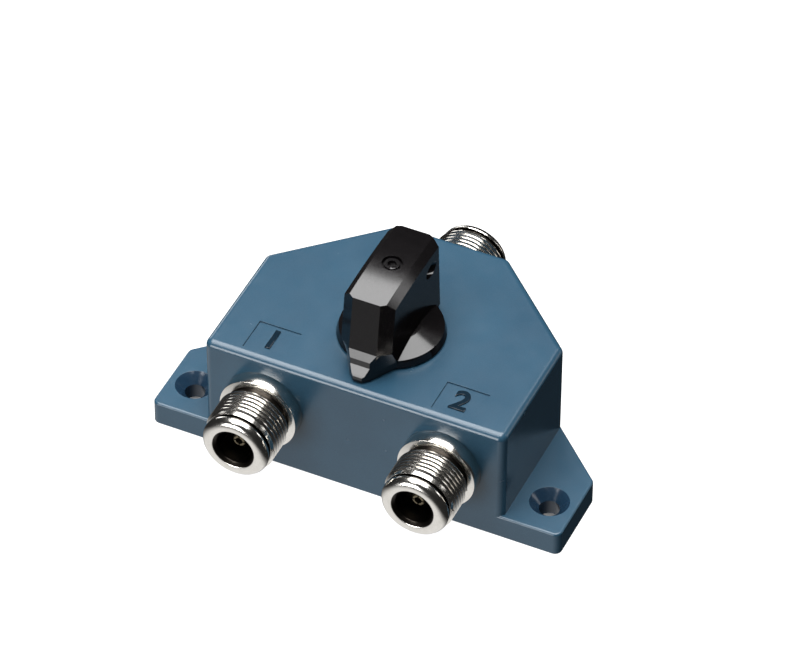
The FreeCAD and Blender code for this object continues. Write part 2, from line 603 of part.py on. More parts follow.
# ---- shaft bearing: heights run upwards from the roof ----------------------------------------------
on_axis = {"y": "Sizes.axis_y"}
shaft_bore = "Sizes.shaft_rad + Sizes.shaft_gap"
boss_depth = "(Sizes.roof_thk + Sizes.boss_thk)"
bushing = turned_body("bushing", [
    (shaft_bore, "-%s - Sizes.bushing_flange_thk" % boss_depth),
    ("Sizes.bushing_flange_rad", "-%s - Sizes.bushing_flange_thk" % boss_depth),
    ("Sizes.bushing_flange_rad", "-" + boss_depth), ("Sizes.bushing_rad", "-" + boss_depth),
    ("Sizes.bushing_rad", "Sizes.bushing_out - 0.3"),
    ("Sizes.bushing_rad - 0.3", "Sizes.bushing_out"), (shaft_bore, "Sizes.bushing_out")],
    z="Sizes.body_hgt", **on_axis)

turned_body("bushing_washer", [
    ("Sizes.bushing_rad + 0.1", "0"), ("Sizes.bushing_washer_rad", "0"),
    ("Sizes.bushing_washer_rad", "Sizes.bushing_washer_thk"),
    ("Sizes.bushing_rad + 0.1", "Sizes.bushing_washer_thk")], z="Sizes.body_hgt", **on_axis)

bushing_nut = new_body("bushing_nut", z="Sizes.body_hgt + Sizes.bushing_washer_thk", **on_axis)
nut_shape = new_sketch(bushing_nut, "XY_Plane", "hexagon")
draw_hexagon(nut_shape, "Sizes.bushing_nut_flats")
draw_circle(nut_shape, "0", "0", "Sizes.bushing_rad + Sizes.thread_gap")
pad(bushing_nut, nut_shape, "Sizes.bushing_nut_thk")

# ---- shaft: heights above the mounting plane, as for everything that hangs below the roof ----------
disc_top = "(Sizes.body_hgt - %s - Sizes.bushing_flange_thk - Sizes.disc_gap)" % boss_depth
clip_top = "(%s - 0.1)" % neck_low
clip_low = "(%s - Sizes.clip_thk)" % clip_top
shaft = turned_body("shaft", [
    ("0", shaft_low), ("Sizes.shaft_rad - 0.4", shaft_low),
    ("Sizes.shaft_rad", shaft_low + " + 0.4"),
    ("Sizes.shaft_rad", clip_low + " - Sizes.clip_gap"),
    ("Sizes.clip_groove_rad", clip_low + " - Sizes.clip_gap"),
    ("Sizes.clip_groove_rad", clip_top + " + Sizes.clip_gap"),
    ("Sizes.shaft_rad", clip_top + " + Sizes.clip_gap"),
    ("Sizes.shaft_rad", shaft_top + " - 0.5"),
    ("Sizes.shaft_rad - 0.5", shaft_top), ("0", shaft_top)], **on_axis)
shaft_cut = new_sketch(shaft, "XY_Plane", "flat", shaft_top + " + 1")
shaft_cut.AttachmentOffset = FreeCAD.Placement(
    FreeCAD.Vector(0, 0, 0), FreeCAD.Rotation(FreeCAD.Vector(0, 0, 1), number_of("grub_turn")))
shaft_cut.setExpression("AttachmentOffset.Base.z", shaft_top + " + 1")
draw_outline(shaft_cut, [("Sizes.shaft_flat", "-Sizes.shaft_rad"),
                         ("Sizes.shaft_rad + 1", "-Sizes.shaft_rad"),
                         ("Sizes.shaft_rad + 1", "Sizes.shaft_rad"),
                         ("Sizes.shaft_flat", "Sizes.shaft_rad")])
pocket(shaft, shaft_cut, "Sizes.shaft_up - Sizes.insert_low + 1")

clip = new_body("shaft_clip", z=clip_low, **on_axis)
clip_shape = new_sketch(clip, "XY_Plane", "ring")
draw_circle(clip_shape, "0", "0", "Sizes.clip_rad")
draw_circle(clip_shape, "0", "0", "Sizes.clip_groove_rad + Sizes.clip_gap")
pad(clip, clip_shape, "Sizes.clip_thk")
clip_mouth = new_sketch(clip, "XY_Plane", "mouth")
draw_outline(clip_mouth, [("-Sizes.clip_groove_rad * 0.8", "0"), ("Sizes.clip_groove_rad * 0.8", "0"),
                          ("Sizes.clip_groove_rad * 0.8 + 1", "-Sizes.clip_rad - 1"),
                          ("-Sizes.clip_groove_rad * 0.8 - 1", "-Sizes.clip_rad - 1")])
pocket(clip, clip_mouth, "Sizes.clip_thk", flip=True)

# ---- index disc, ball, spring and stop pin ---------------------------------------------------------
disc = new_body("index_disc", z=disc_top + " - Sizes.disc_thk", **on_axis)
disc_shape = new_sketch(disc, "XY_Plane", "disc")
draw_circle(disc_shape, "0", "0", "Sizes.disc_rad")
draw_circle(disc_shape, "0", "0", "Sizes.shaft_rad")
pad(disc, disc_shape, "Sizes.disc_thk")

# the ball's track: part of a ring with the ball's own radius
track = new_sketch(disc, "YZ_Plane", "track")
draw_circle(track, "-Sizes.track_rad", "Sizes.disc_thk - Sizes.track_deep + Sizes.ball_rad",
            "Sizes.ball_rad")
doc.recompute()
track_cut = revolve(disc, track, "Groove", "2 * Sizes.turn_half + 16")
track_cut.Midplane = True
doc.recompute()

dimples = new_sketch(disc, "XY_Plane", "dimples", "Sizes.disc_thk")
for angle in ("0", "Sizes.turn_half", "-Sizes.turn_half"):
    draw_circle(dimples, "Sizes.track_rad * sin(%s)" % angle, "-Sizes.track_rad * cos(%s)" % angle,
                "Sizes.dimple_rad")
pocket(disc, dimples, "Sizes.dimple_deep")

# slot for the stop pin: part of a ring with two round ends
pin_slot_half = "(Sizes.pin_rad + Sizes.pin_gap)"
stop_slot = new_sketch(disc, "YZ_Plane", "slot")
slot_near = "Sizes.pin_place - " + pin_slot_half
slot_far = "Sizes.pin_place + " + pin_slot_half
draw_outline(stop_slot, [(slot_near, "-0.5"), (slot_far, "-0.5"),
                         (slot_far, "Sizes.disc_thk + 0.5"), (slot_near, "Sizes.disc_thk + 0.5")])
doc.recompute()
slot_cut = revolve(disc, stop_slot, "Groove", "2 * Sizes.turn_half")
slot_cut.Midplane = True
doc.recompute()
slot_ends = new_sketch(disc, "XY_Plane", "slot_ends")
for angle in ("Sizes.turn_half", "-Sizes.turn_half"):
    draw_circle(slot_ends, "Sizes.pin_place * sin(%s)" % angle, "Sizes.pin_place * cos(%s)" % angle,
                pin_slot_half)
pocket(disc, slot_ends, "Sizes.disc_thk", flip=True)

ball_z = disc_top + " - Sizes.track_deep + Sizes.ball_gap + Sizes.ball_rad"
ball_y = "Sizes.axis_y - Sizes.track_rad"
ball = doc.addObject("Part::Sphere", "detent_ball")
ball.Label = "detent_ball"
ball.setExpression("Radius", "Sizes.ball_rad")
ball.setExpression("Placement.Base.y", ball_y)
ball.setExpression("Placement.Base.z", ball_z)

spring_low = "(%s + Sizes.ball_rad + Sizes.wire_rad)" % ball_z
spring_top = "(%s - Sizes.nozzle_len + Sizes.ball_bore_deep - Sizes.wire_rad)" % boss_low
spring = new_body("detent_spring", y=ball_y, z=spring_low)
wire = new_sketch(spring, "XZ_Plane", "wire")
wire_in = "Sizes.spring_rad - Sizes.wire_rad"
wire_out = "Sizes.spring_rad + Sizes.wire_rad"
draw_outline(wire, [(wire_in, "-Sizes.wire_rad"), (wire_out, "-Sizes.wire_rad"),
                    (wire_out, "Sizes.wire_rad"), (wire_in, "Sizes.wire_rad")])
doc.recompute()
coil = spring.newObject("PartDesign::AdditiveHelix", "spring_coil")
coil.Profile = wire
coil.ReferenceAxis = (wire, ["V_Axis"])
coil.Mode = "pitch-height-angle"
coil.setExpression("Pitch", "Sizes.spring_pitch")
coil.setExpression("Height", "%s - %s" % (spring_top, spring_low))
doc.recompute()

turned_body("stop_pin", [
    ("0", disc_top + " - Sizes.disc_thk + 0.3"), ("Sizes.pin_rad", disc_top + " - Sizes.disc_thk + 0.3"),
    ("Sizes.pin_rad", boss_low + " + Sizes.pin_hold"), ("0", boss_low + " + Sizes.pin_hold")],
    y="Sizes.axis_y + Sizes.pin_place")

# ---- rotor: hub, blade and collar ------------------------------------------------------------------
blade_low = "(%s - Sizes.blade_thk / 2)" % jack_z
blade_top = "(%s + Sizes.blade_thk / 2)" % jack_z
hub = new_body("rotor_hub", z=neck_low, **on_axis)
neck = new_sketch(hub, "XY_Plane", "neck")
draw_flatted_circle(neck, "Sizes.neck_rad", "Sizes.neck_flat")
pad(hub, neck, "%s - %s + 0.1" % (blade_top, neck_low))
flange = new_sketch(hub, "XY_Plane", "flange", "%s - %s" % (blade_top, neck_low))
draw_circle(flange, "0", "0", "Sizes.hub_rad")
pad(hub, flange, "%s - Sizes.disc_thk - %s" % (disc_top, blade_top))
hub_bore = new_sketch(hub, "XY_Plane", "bore")
draw_circle(hub_bore, "0", "0", "Sizes.shaft_rad")
pocket(hub, hub_bore, "Sizes.body_hgt", flip=True)

blade = new_body("wiper_blade", z=blade_low, **on_axis)
ring = new_sketch(blade, "XY_Plane", "ring")
draw_circle(ring, "0", "0", "Sizes.blade_ring_rad")
pad(blade, ring, "Sizes.blade_thk")
arm_shape = new_sketch(blade, "XY_Plane", "arm")
arm_half = "Sizes.blade_wid / 2"
draw_outline(arm_shape, [("-" + arm_half, "-Sizes.blade_reach + 0.8"),
                         ("-%s + 0.8" % arm_half, "-Sizes.blade_reach"),
                         (arm_half + " - 0.8", "-Sizes.blade_reach"),
                         (arm_half, "-Sizes.blade_reach + 0.8"), (arm_half, "0"),
                         ("-" + arm_half, "0")])
pad(blade, arm_shape, "Sizes.blade_thk")
blade_hole = new_sketch(blade, "XY_Plane", "hole")
draw_flatted_circle(blade_hole, "Sizes.neck_rad + Sizes.key_gap", "Sizes.neck_flat + Sizes.key_gap")
pocket(blade, blade_hole, "Sizes.blade_thk", flip=True)

collar_low = "(%s + 0.1)" % neck_low
collar = new_body("rotor_collar", z=collar_low, **on_axis)
collar_shape = new_sketch(collar, "XY_Plane", "ring")
draw_circle(collar_shape, "0", "0", "Sizes.collar_ring_rad")
pad(collar, collar_shape, "%s - %s" % (blade_low, collar_low))
collar_hole = new_sketch(collar, "XY_Plane", "hole")
draw_flatted_circle(collar_hole, "Sizes.neck_rad + Sizes.key_gap", "Sizes.neck_flat + Sizes.key_gap")
pocket(collar, collar_hole, "Sizes.body_hgt", flip=True)

# ---- forks: a block on the contact's tail with two leaves around the blade -------------------------
def fork_profile(block_near, block_far, tip):
    """Side view; the first letter of each pair runs along the leaves, away from the blade."""
    half = "Sizes.fork_hgt / 2"
    inner = "(Sizes.blade_thk / 2 + Sizes.leaf_gap)"
    outer = "(%s + Sizes.leaf_thk)" % inner
    bend = "%s + 1.2" % tip
    upper = [(block_far, half), (block_near, half), (block_near, outer), (bend, outer),
             (tip, "(%s + Sizes.leaf_flare)" % outer), (tip, "(%s + Sizes.leaf_flare)" % inner),
             (bend, inner), ("%s + 0.6" % block_near, inner)]
    lower = [(x, "-" + y) for x, y in reversed(upper)]
    return upper + lower


tail_end = "Sizes.contact_tail_len"
for key, sign in (("1", -1), ("2", 1)):
    turn = FreeCAD.Rotation(FreeCAD.Vector(0, 0, 1), 180 if sign < 0 else 0)
    fork = new_body("fork_" + key, y="-Sizes.front_y + %s - Sizes.fork_deep / 2" % tail_end,
                    z=jack_z, turn=turn)
    side = new_sketch(fork, "XZ_Plane", "side")
    draw_outline(side, fork_profile("(Sizes.jack_x - Sizes.fork_wid / 2)",
                                    "(Sizes.jack_x + Sizes.fork_wid / 2)", "Sizes.fork_side_tip"))
    pad(fork, side, "Sizes.fork_deep", both_ways=True)
    bore = new_sketch(fork, "XZ_Plane", "bore")
    draw_circle(bore, "Sizes.jack_x", "0", "Sizes.contact_tail_rad + Sizes.thread_gap")
    pocket(fork, bore, "Sizes.fork_deep + 1", both_ways=True)

# the rear fork's block closes over the end of the tail
fork = new_body("fork_common", z=jack_z, **on_axis)
side = new_sketch(fork, "YZ_Plane", "side")
block_near = "(%s - %s - Sizes.axis_y - Sizes.fork_back - Sizes.fork_end_gap)" % (rear_seat, tail_end)
block_far = "(%s + Sizes.fork_deep)" % block_near
draw_outline(side, fork_profile(block_near, block_far, "Sizes.fork_rear_tip"))
pad(fork, side, "Sizes.fork_wid", both_ways=True)
bore = new_sketch(fork, "XZ_Plane", "bore", "-" + block_far)
draw_circle(bore, "0", "0", "Sizes.contact_tail_rad + Sizes.thread_gap")
pocket(fork, bore, "Sizes.fork_deep - Sizes.fork_back", flip=True)

# ---- knob: heights run upwards from the roof -------------------------------------------------------
knob = turned_body("knob", [
    ("0", "Sizes.knob_lift"), ("Sizes.skirt_rad", "Sizes.knob_lift"),
    ("Sizes.skirt_top_rad", "Sizes.skirt_top"), ("Sizes.cone_rad", "Sizes.cone_top"),
    ("0", "Sizes.cone_top")], z="Sizes.body_hgt", **on_axis)

# nose: a low foot on the skirt, and above it flanks that sweep up to the corners of the bar
def nose_outline(root_y, side_half, side_y, tip_half, tip_y):
    right = [("Sizes.bar_half", "0"), ("Sizes.bar_half", "-" + root_y), (side_half, "-" + side_y),
             (tip_half, "-" + tip_y)]
    return right + [("-" + x, y) for x, y in reversed(right)]


nose_foot = nose_outline("Sizes.nose_root_y", "Sizes.nose_tip_half", "Sizes.nose_tip_y",
                         "Sizes.nose_nip_half", "Sizes.nose_end")
nose_head = nose_outline("(Sizes.bar_foot - Sizes.bar_facet_deep)",
                         "(Sizes.bar_half - Sizes.bar_facet_side)", "Sizes.bar_foot",
                         "Sizes.nose_tip_half", "Sizes.nose_tip_y")
low_nose = new_sketch(knob, "XY_Plane", "low_nose", "Sizes.knob_lift")
draw_outline(low_nose, nose_foot)
pad(knob, low_nose, "Sizes.skirt_top - Sizes.knob_lift")
flank_foot = new_sketch(knob, "XY_Plane", "flank_foot", "Sizes.skirt_top")
draw_outline(flank_foot, nose_foot)
flank_head = new_sketch(knob, "XY_Plane", "flank_head", "Sizes.ledge_hgt")
draw_outline(flank_head, nose_head)
doc.recompute()
flanks = knob.newObject("PartDesign::AdditiveLoft", "flanks")
flanks.Profile = flank_foot
flanks.Sections = [flank_head]
flanks.Ruled = True
doc.recompute()
nose_cut = new_sketch(knob, "YZ_Plane", "nose_cut")
draw_outline(nose_cut, [("-Sizes.bar_foot", "Sizes.ledge_hgt + 1"), ("-Sizes.bar_foot", "Sizes.ledge_hgt"),
                        ("-Sizes.ledge_end", "Sizes.ledge_low"),
                        ("-Sizes.ledge_end", "Sizes.ledge_low - Sizes.ledge_step"),
                        ("-Sizes.nose_low_y", "Sizes.nose_low"),
                        ("-Sizes.nose_end - 1", "Sizes.nose_low - 0.6"),
                        ("-Sizes.nose_end - 1", "Sizes.ledge_hgt + 1")])
pocket(knob, nose_cut, "Sizes.skirt_rad", both_ways=True)

# bar: its side view has an arched top and slanted ends
bar = new_sketch(knob, "YZ_Plane", "bar")
end_z = "(Sizes.bar_top - Sizes.bar_arch)"
arch_rad = "((Sizes.bar_end ^ 2 + Sizes.bar_arch ^ 2) / (2 * Sizes.bar_arch))"
rear_z = "(Sizes.bar_top - %s + sqrt(%s ^ 2 - Sizes.bar_rear_end ^ 2))" % (arch_rad, arch_rad)
bar_corners = [("-Sizes.bar_end", end_z), ("-Sizes.bar_foot", "Sizes.ledge_hgt"),
               ("-Sizes.nose_root_y", "Sizes.ledge_hgt"), ("-Sizes.nose_root_y", "Sizes.skirt_top"),
               ("Sizes.bar_rear_foot", "Sizes.knob_lift"), ("Sizes.bar_rear_end", rear_z)]
spots = [FreeCAD.Vector(number_of(x), number_of(y), 0) for x, y in bar_corners]
for one, two in zip(spots, spots[1:]):
    bar.addGeometry(Part.LineSegment(one, two))
last = len(bar_corners) - 2
crest = FreeCAD.Vector(0, number_of("bar_top"), 0)
arch = bar.addGeometry(Part.Arc(spots[0], crest, spots[-1]))
for line in range(last):
    bar.addConstraint(Sketcher.Constraint("Coincident", line, 2, line + 1, 1))
for line, (x, y) in enumerate(bar_corners[:-1]):
    bind(bar, "DistanceX", (line, 1), x)
    bind(bar, "DistanceY", (line, 1), y)
bind(bar, "DistanceX", (last, 2), bar_corners[-1][0])
bind(bar, "DistanceY", (last, 2), bar_corners[-1][1])
bar.addConstraint(Sketcher.Constraint("Coincident", arch, 2, 0, 1))
bar.addConstraint(Sketcher.Constraint("Coincident", arch, 1, last, 2))
bind(bar, "Radius", (arch,), arch_rad)
pad(knob, bar, "2 * Sizes.bar_half", both_ways=True)


def cut_facets(name, way, foot_y, foot_z, lean, deep):
    """Facets at the two corners of one end of the bar, cut along its slanted face."""
    facets = new_sketch(knob, "XY_Plane", name, foot_z)
    inner = "(Sizes.bar_half - Sizes.bar_facet_side)"
    for side in ("", "-"):
        draw_outline(facets, [(side + "Sizes.bar_half", "%s(%s - %s)" % (way, foot_y, deep)),
                              (side + inner, way + foot_y), (side + inner, "%s(%s + 1)" % (way, foot_y)),
                              (side + "(Sizes.bar_half + 1)", "%s(%s + 1)" % (way, foot_y)),
                              (side + "(Sizes.bar_half + 1)", "%s(%s - %s)" % (way, foot_y, deep))])
    cut = pocket(knob, facets, "Sizes.bar_top + Sizes.bar_end", flip=True)
    cut.UseCustomVector = True
    cut.Direction = FreeCAD.Vector(0, number_of(way + lean), -number_of(end_z + " - " + foot_z))
    doc.recompute()


cut_facets("front_facets", "-", "Sizes.bar_foot", "Sizes.ledge_hgt",
           "(Sizes.bar_foot - Sizes.bar_end)", "Sizes.bar_facet_deep")
cut_facets("rear_facets", "", "Sizes.bar_rear_foot", "Sizes.knob_lift",
           "(Sizes.bar_rear_foot - Sizes.bar_rear_end)", "Sizes.bar_rear_facet")

half_bar = number_of("bar_half")
crest_z = number_of("bar_top - bar_arch")
half_length = number_of("bar_end")


def long_top_edge(edge):
    spot = middle(edge)
    return near(abs(spot.x), half_bar) and spot.z > crest_z - 0.5 and edge.Length > half_length


dress(knob, "Chamfer", long_top_edge, "Sizes.bar_edge")

# round sinking on the bar, with a ring standing in it
top_hole = new_sketch(knob, "XY_Plane", "top_hole", "Sizes.bar_top + 1")
draw_circle(top_hole, "0", "0", "Sizes.top_hole_rad")
pocket(knob, top_hole, "Sizes.top_hole_deep + 1")
button = new_sketch(knob, "XY_Plane", "button", "Sizes.bar_top - Sizes.top_hole_deep")
draw_circle(button, "0", "0", "Sizes.button_rad")
draw_circle(button, "0", "0", "Sizes.button_hole_rad")
pad(knob, button, "Sizes.button_hgt")

# hollow and insert hole from below
under = new_sketch(knob, "XY_Plane", "under", "Sizes.knob_lift")
draw_circle(under, "0", "0", "Sizes.under_rad")
pocket(knob, under, "Sizes.under_top - Sizes.knob_lift", flip=True)
insert_hole = new_sketch(knob, "XY_Plane", "insert_hole", "Sizes.knob_lift")
draw_circle(insert_hole, "0", "0", "Sizes.insert_rad")
pocket(knob, insert_hole, "Sizes.insert_top - Sizes.knob_lift", flip=True)


def radial_sketch(body, name, height):
    """A sketch whose normal points the way the set screw lies."""
    sketch = new_sketch(body, "XZ_Plane", name)
    turn = FreeCAD.Rotation(FreeCAD.Vector(0, 1, 0), 90 + number_of("grub_turn"))
    sketch.AttachmentOffset = FreeCAD.Placement(FreeCAD.Vector(0, 0, 0), turn)
    draw_circle(sketch, "0", height, "Sizes.grub_hole_rad" if body is knob else "Sizes.grub_rad")
    return sketch


pocket(knob, radial_sketch(knob, "grub_hole", "Sizes.grub_hgt"), "Sizes.skirt_rad + 3", flip=True)

insert = turned_body("knob_insert", [
    (shaft_bore, "Sizes.insert_low"), ("Sizes.insert_rad - 0.3", "Sizes.insert_low"),
    ("Sizes.insert_rad", "Sizes.insert_low + 0.3"), ("Sizes.insert_rad", "Sizes.insert_low + 4"),
    ("Sizes.insert_rad - 0.5", "Sizes.insert_low + 4.5"),
    ("Sizes.insert_rad - 0.5", "Sizes.insert_low + 5.5"),
    ("Sizes.insert_rad", "Sizes.insert_low + 6"), ("Sizes.insert_rad", "Sizes.insert_top"),
    (shaft_bore, "Sizes.insert_top")], z="Sizes.body_hgt", **on_axis)
pocket(insert, radial_sketch(insert, "grub_hole", "Sizes.grub_hgt"), "Sizes.insert_rad + 1", flip=True)

# set screw: starts on the shaft's flat
heading = math.radians(number_of("grub_turn"))
outwards = FreeCAD.Vector(math.cos(heading), math.sin(heading), 0)
grub = turned_body("set_screw", [
    ("0", "0"), ("Sizes.grub_rad - 0.5", "0"), ("Sizes.grub_rad", "0.5"),
    ("Sizes.grub_rad", "Sizes.grub_len"), ("0", "Sizes.grub_len")],
    x="Sizes.shaft_flat * cos(Sizes.grub_turn)",
    y="Sizes.axis_y + Sizes.shaft_flat * sin(Sizes.grub_turn)",
    z="Sizes.body_hgt + Sizes.grub_hgt",
    turn=FreeCAD.Rotation(FreeCAD.Vector(0, 0, 1), outwards))
key_hole = new_sketch(grub, "XY_Plane", "key_hole", "Sizes.grub_len")
draw_hexagon(key_hole, "Sizes.grub_key")
pocket(grub, key_hole, "1.5")

# ---- checks and export -----------------------------------------------------------------------------
doc.recompute()
for item in doc.Objects:
    if "Invalid" in item.State or "Error" in item.State:
        raise ValueError("%s is %s" % (item.Name, item.State))

nodes = [item for item in doc.Objects if item.TypeId == "PartDesign::Body"] + [ball]
os.makedirs("parts", exist_ok=True)
for node in nodes:
    if node.Shape.isNull() or not node.Shape.isValid() or len(node.Shape.Solids) != 1:
        raise ValueError("bad shape: " + node.Label)
    node.Shape.exportStep("parts/%s.step" % node.Label)
    box = node.Shape.BoundBox
    print("%-20s x %6.2f..%6.2f  y %6.2f..%6.2f  z %6.2f..%6.2f  volume %9.2f" % (
        node.Label, box.XMin, box.XMax, box.YMin, box.YMax, box.ZMin, box.ZMax, node.Shape.Volume))
print(len(nodes), "pieces")
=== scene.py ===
# %% [markdown]
# # A coaxial antenna switch
# A die-cast box in blue-grey metallic paint, with two mounting ears, two nickel-plated jacks in front,
# the common jack behind and a glossy black pointer knob. The exact model comes packed from the
# construction program. This lesson gives it rounded edges, threads, cast numbers and its finishes.
# We start by loading the model. Its bodies move, and everything that we add rides on one of them.
# Loading leaves all pieces selected, and an operator acts on all that is selected, so we deselect.

# %% Load the frame
import json
import math
import bpy
from mathutils import Matrix, Vector

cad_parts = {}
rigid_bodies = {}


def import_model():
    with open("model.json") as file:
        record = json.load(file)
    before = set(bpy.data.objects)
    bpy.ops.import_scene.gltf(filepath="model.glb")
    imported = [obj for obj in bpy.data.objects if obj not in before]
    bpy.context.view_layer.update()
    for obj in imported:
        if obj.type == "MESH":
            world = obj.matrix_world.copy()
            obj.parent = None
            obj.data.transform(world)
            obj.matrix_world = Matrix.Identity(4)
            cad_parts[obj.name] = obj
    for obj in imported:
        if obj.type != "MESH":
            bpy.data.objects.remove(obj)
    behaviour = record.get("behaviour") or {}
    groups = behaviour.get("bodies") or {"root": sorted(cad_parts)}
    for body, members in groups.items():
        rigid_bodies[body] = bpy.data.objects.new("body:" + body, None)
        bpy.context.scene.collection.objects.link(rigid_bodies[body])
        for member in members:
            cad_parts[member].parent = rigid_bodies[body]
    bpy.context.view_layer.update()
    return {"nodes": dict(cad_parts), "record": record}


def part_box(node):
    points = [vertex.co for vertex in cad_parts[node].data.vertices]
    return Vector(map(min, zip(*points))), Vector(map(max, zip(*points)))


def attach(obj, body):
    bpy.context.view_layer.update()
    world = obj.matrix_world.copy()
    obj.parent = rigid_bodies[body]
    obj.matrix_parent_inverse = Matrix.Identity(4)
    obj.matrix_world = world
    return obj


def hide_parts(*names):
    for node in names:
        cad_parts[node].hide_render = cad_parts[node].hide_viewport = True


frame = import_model()
nodes = frame["nodes"]
bpy.ops.object.select_all(action="DESELECT")
MM = 0.001
BOX, ROTOR = "switch_body", "knob_and_rotor"

# %% [markdown]
# ## Places that the model gives
# Every place is read from the model's own pieces or from its record, so nothing has to be fitted by
# eye: the roof's height is the top of the housing, the shaft's axis is the middle of the shaft, and
# the record says how far apart the mounting holes are and how thick the jacks' threads are.

# %% Read the places
roof_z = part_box("housing")[1].z
knob_top_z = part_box("knob")[1].z
shaft_low, shaft_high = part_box("shaft")
shaft_axis = Vector(((shaft_low.x + shaft_high.x) / 2, (shaft_low.y + shaft_high.y) / 2, 0))
mount_sizes = {mount["name"]: mount["dims"] for mount in frame["record"]["mounts"]}
hole_x = mount_sizes["mounting_holes"]["spacing_x_mm"] / 2 * MM
print("in mm: roof", round(roof_z / MM, 2), "shaft axis y", round(shaft_axis.y / MM, 2),
      "mounting holes x", round(hole_x / MM, 2))

# %% [markdown]
# ## Camera
# A small product is best seen through a long lens from well away, which keeps its edges almost
# parallel. The camera looks down from the front right. Azimuth is measured round the object from the
# front, elevation above the table; the small roll and the two offsets finish the framing.

# %% Work out the view
AZIMUTH, ELEVATION, ROLL = math.radians(24.645), math.radians(43.279), math.radians(0.354)
backward = Vector((math.sin(AZIMUTH) * math.cos(ELEVATION),
                   -math.cos(AZIMUTH) * math.cos(ELEVATION), math.sin(ELEVATION)))
level = Vector((math.cos(AZIMUTH), math.sin(AZIMUTH), 0))
upward = backward.cross(level)
right = math.cos(ROLL) * level + math.sin(ROLL) * upward
up = math.cos(ROLL) * upward - math.sin(ROLL) * level
print("the camera looks along", [round(-value, 3) for value in backward])

# %% Place the camera
LENS_MM, SENSOR_MM, NEAREST, FARTHEST = 244.4, 36, 0.05, 20
LOOK_AT = Vector((0, 12.96, 0)) * MM
OFFSET_RIGHT, OFFSET_UP, DISTANCE = 0.762 * MM, 20.417 * MM, 1145.4 * MM

camera_data = bpy.data.cameras.new("camera")
camera_data.lens = LENS_MM
camera_data.sensor_width = SENSOR_MM
camera_data.clip_start = NEAREST
camera_data.clip_end = FARTHEST
camera = bpy.data.objects.new("camera", camera_data)
bpy.context.scene.collection.objects.link(camera)
camera.matrix_world = Matrix((right, up, backward)).transposed().to_4x4()
camera.location = LOOK_AT + OFFSET_RIGHT * right + OFFSET_UP * up + DISTANCE * backward
bpy.context.scene.camera = camera
print("camera at", [round(value, 3) for value in camera.location])

# %% [markdown]
# ## A small language for materials
# Shader maths reads best as formulas. One small class wraps a socket, so that `a * b` adds a Math
# node. Every other node comes from one function, which sets the node's settings before it fills its
# sockets, because some settings decide which sockets there are.


# %% One socket as a value
class Shade:
    """Wraps one output socket of a node tree."""

    def __init__(self, tree, socket):
        self.tree, self.socket = tree, socket

    def _math(self, operation, one, two):
        return add_node(self.tree, "ShaderNodeMath", {"operation": operation}, {0: one, 1: two})

    def __add__(self, other):
        return self._math("ADD", self, other)

    def __sub__(self, other):
        return self._math("SUBTRACT", self, other)

    def __rsub__(self, other):
        return self._math("SUBTRACT", other, self)

    def __mul__(self, other):
        return self._math("MULTIPLY", self, other)

    __radd__, __rmul__ = __add__, __mul__


# %% One function for all nodes
def set_stops(ramp, stops):
    """Gives a colour ramp its (position, grey) stops."""
    while len(ramp.elements) < len(stops):
        ramp.elements.new(0.5)
    for element, (position, grey) in zip(ramp.elements, stops):
        element.position = position
        element.color = (grey, grey, grey, 1)


def add_node(tree, kind, settings, inputs, output=0):
    """Adds a node: first its settings, then the values or links of its sockets."""
    node = tree.nodes.new(kind)
    for name, value in settings.items():
        if name == "stops":
            set_stops(node.color_ramp, value)
        else:
            setattr(node, name, value)
    for name, value in inputs.items():
        if isinstance(value, Shade):
            tree.links.new(value.socket, node.inputs[name])
        else:
            node.inputs[name].default_value = value
    return Shade(tree, node.outputs[output])


# %% [markdown]
# A finish is one material round one Principled shader. Its patterns read Object coordinates, which
# here are real metres on the piece, so a noise of scale 5200 has 5200 features per metre. Colours
# are blended with a Mix node, because a Math node would turn them grey.


# %% One class for all finishes
class Finish:
    """A material that is built up step by step round one Principled shader."""

    def __init__(self, name, **constants):
        self.material = bpy.data.materials.new(name)
        self.material.use_nodes = True
        self.tree = self.material.node_tree
        self.shader = self.tree.nodes["Principled BSDF"]
        for socket, value in constants.items():
            self.set(socket.replace("_", " "), value)
        self.place = self.node("ShaderNodeTexCoord", {}, {}, "Object")

    def node(self, kind, settings, inputs, output=0):
        """Adds a node to this finish."""
        return add_node(self.tree, kind, settings, inputs, output)

    def set(self, socket, value):
        """Gives the Principled shader a constant or a link."""
        if isinstance(value, Shade):
            self.tree.links.new(value.socket, self.shader.inputs[socket])
        else:
            self.shader.inputs[socket].default_value = value

    def axis(self, letter):
        """The place along X, Y or Z, in metres."""
        return self.node("ShaderNodeSeparateXYZ", {}, {"Vector": self.place}, letter)

    def noise(self, scale, detail=3, roughness=0.5):
        """Noise over the piece, with scale features per metre."""
        return self.node("ShaderNodeTexNoise", {}, {
            "Vector": self.place, "Scale": scale, "Detail": detail, "Roughness": roughness})

    def steps(self, value, *stops):
        """A curve through (position, grey) stops."""
        return self.node("ShaderNodeValToRGB", {"stops": stops}, {"Fac": value})

    def blend(self, factor, dark, light):
        """Mixes two colours. A Mix node keeps its colours in sockets 6, 7 and 2."""
        return self.node("ShaderNodeMix", {"data_type": "RGBA"},
                         {0: factor, 6: (*dark, 1), 7: (*light, 1)}, 2)

    def bump(self, height, depth_mm, strength=1.0):
        """Sends a height through a Bump node to the shader's normal."""
        self.set("Normal", self.node("ShaderNodeBump", {}, {
            "Height": height, "Distance": depth_mm * MM, "Strength": strength}))


# %% [markdown]
# ## Table
# The object stands on a plain pale sheet, which belongs to the stage and not to the object. For a
# catalogue such a sheet is a glass plate over a lit white ground: it shows no reflection in the
# glossy pieces, throws no light back on them and stops none. The sheet glows by itself, which takes
# away its shadows. Under the two mounting holes it doesn't, so that each hole stays a dark hole.

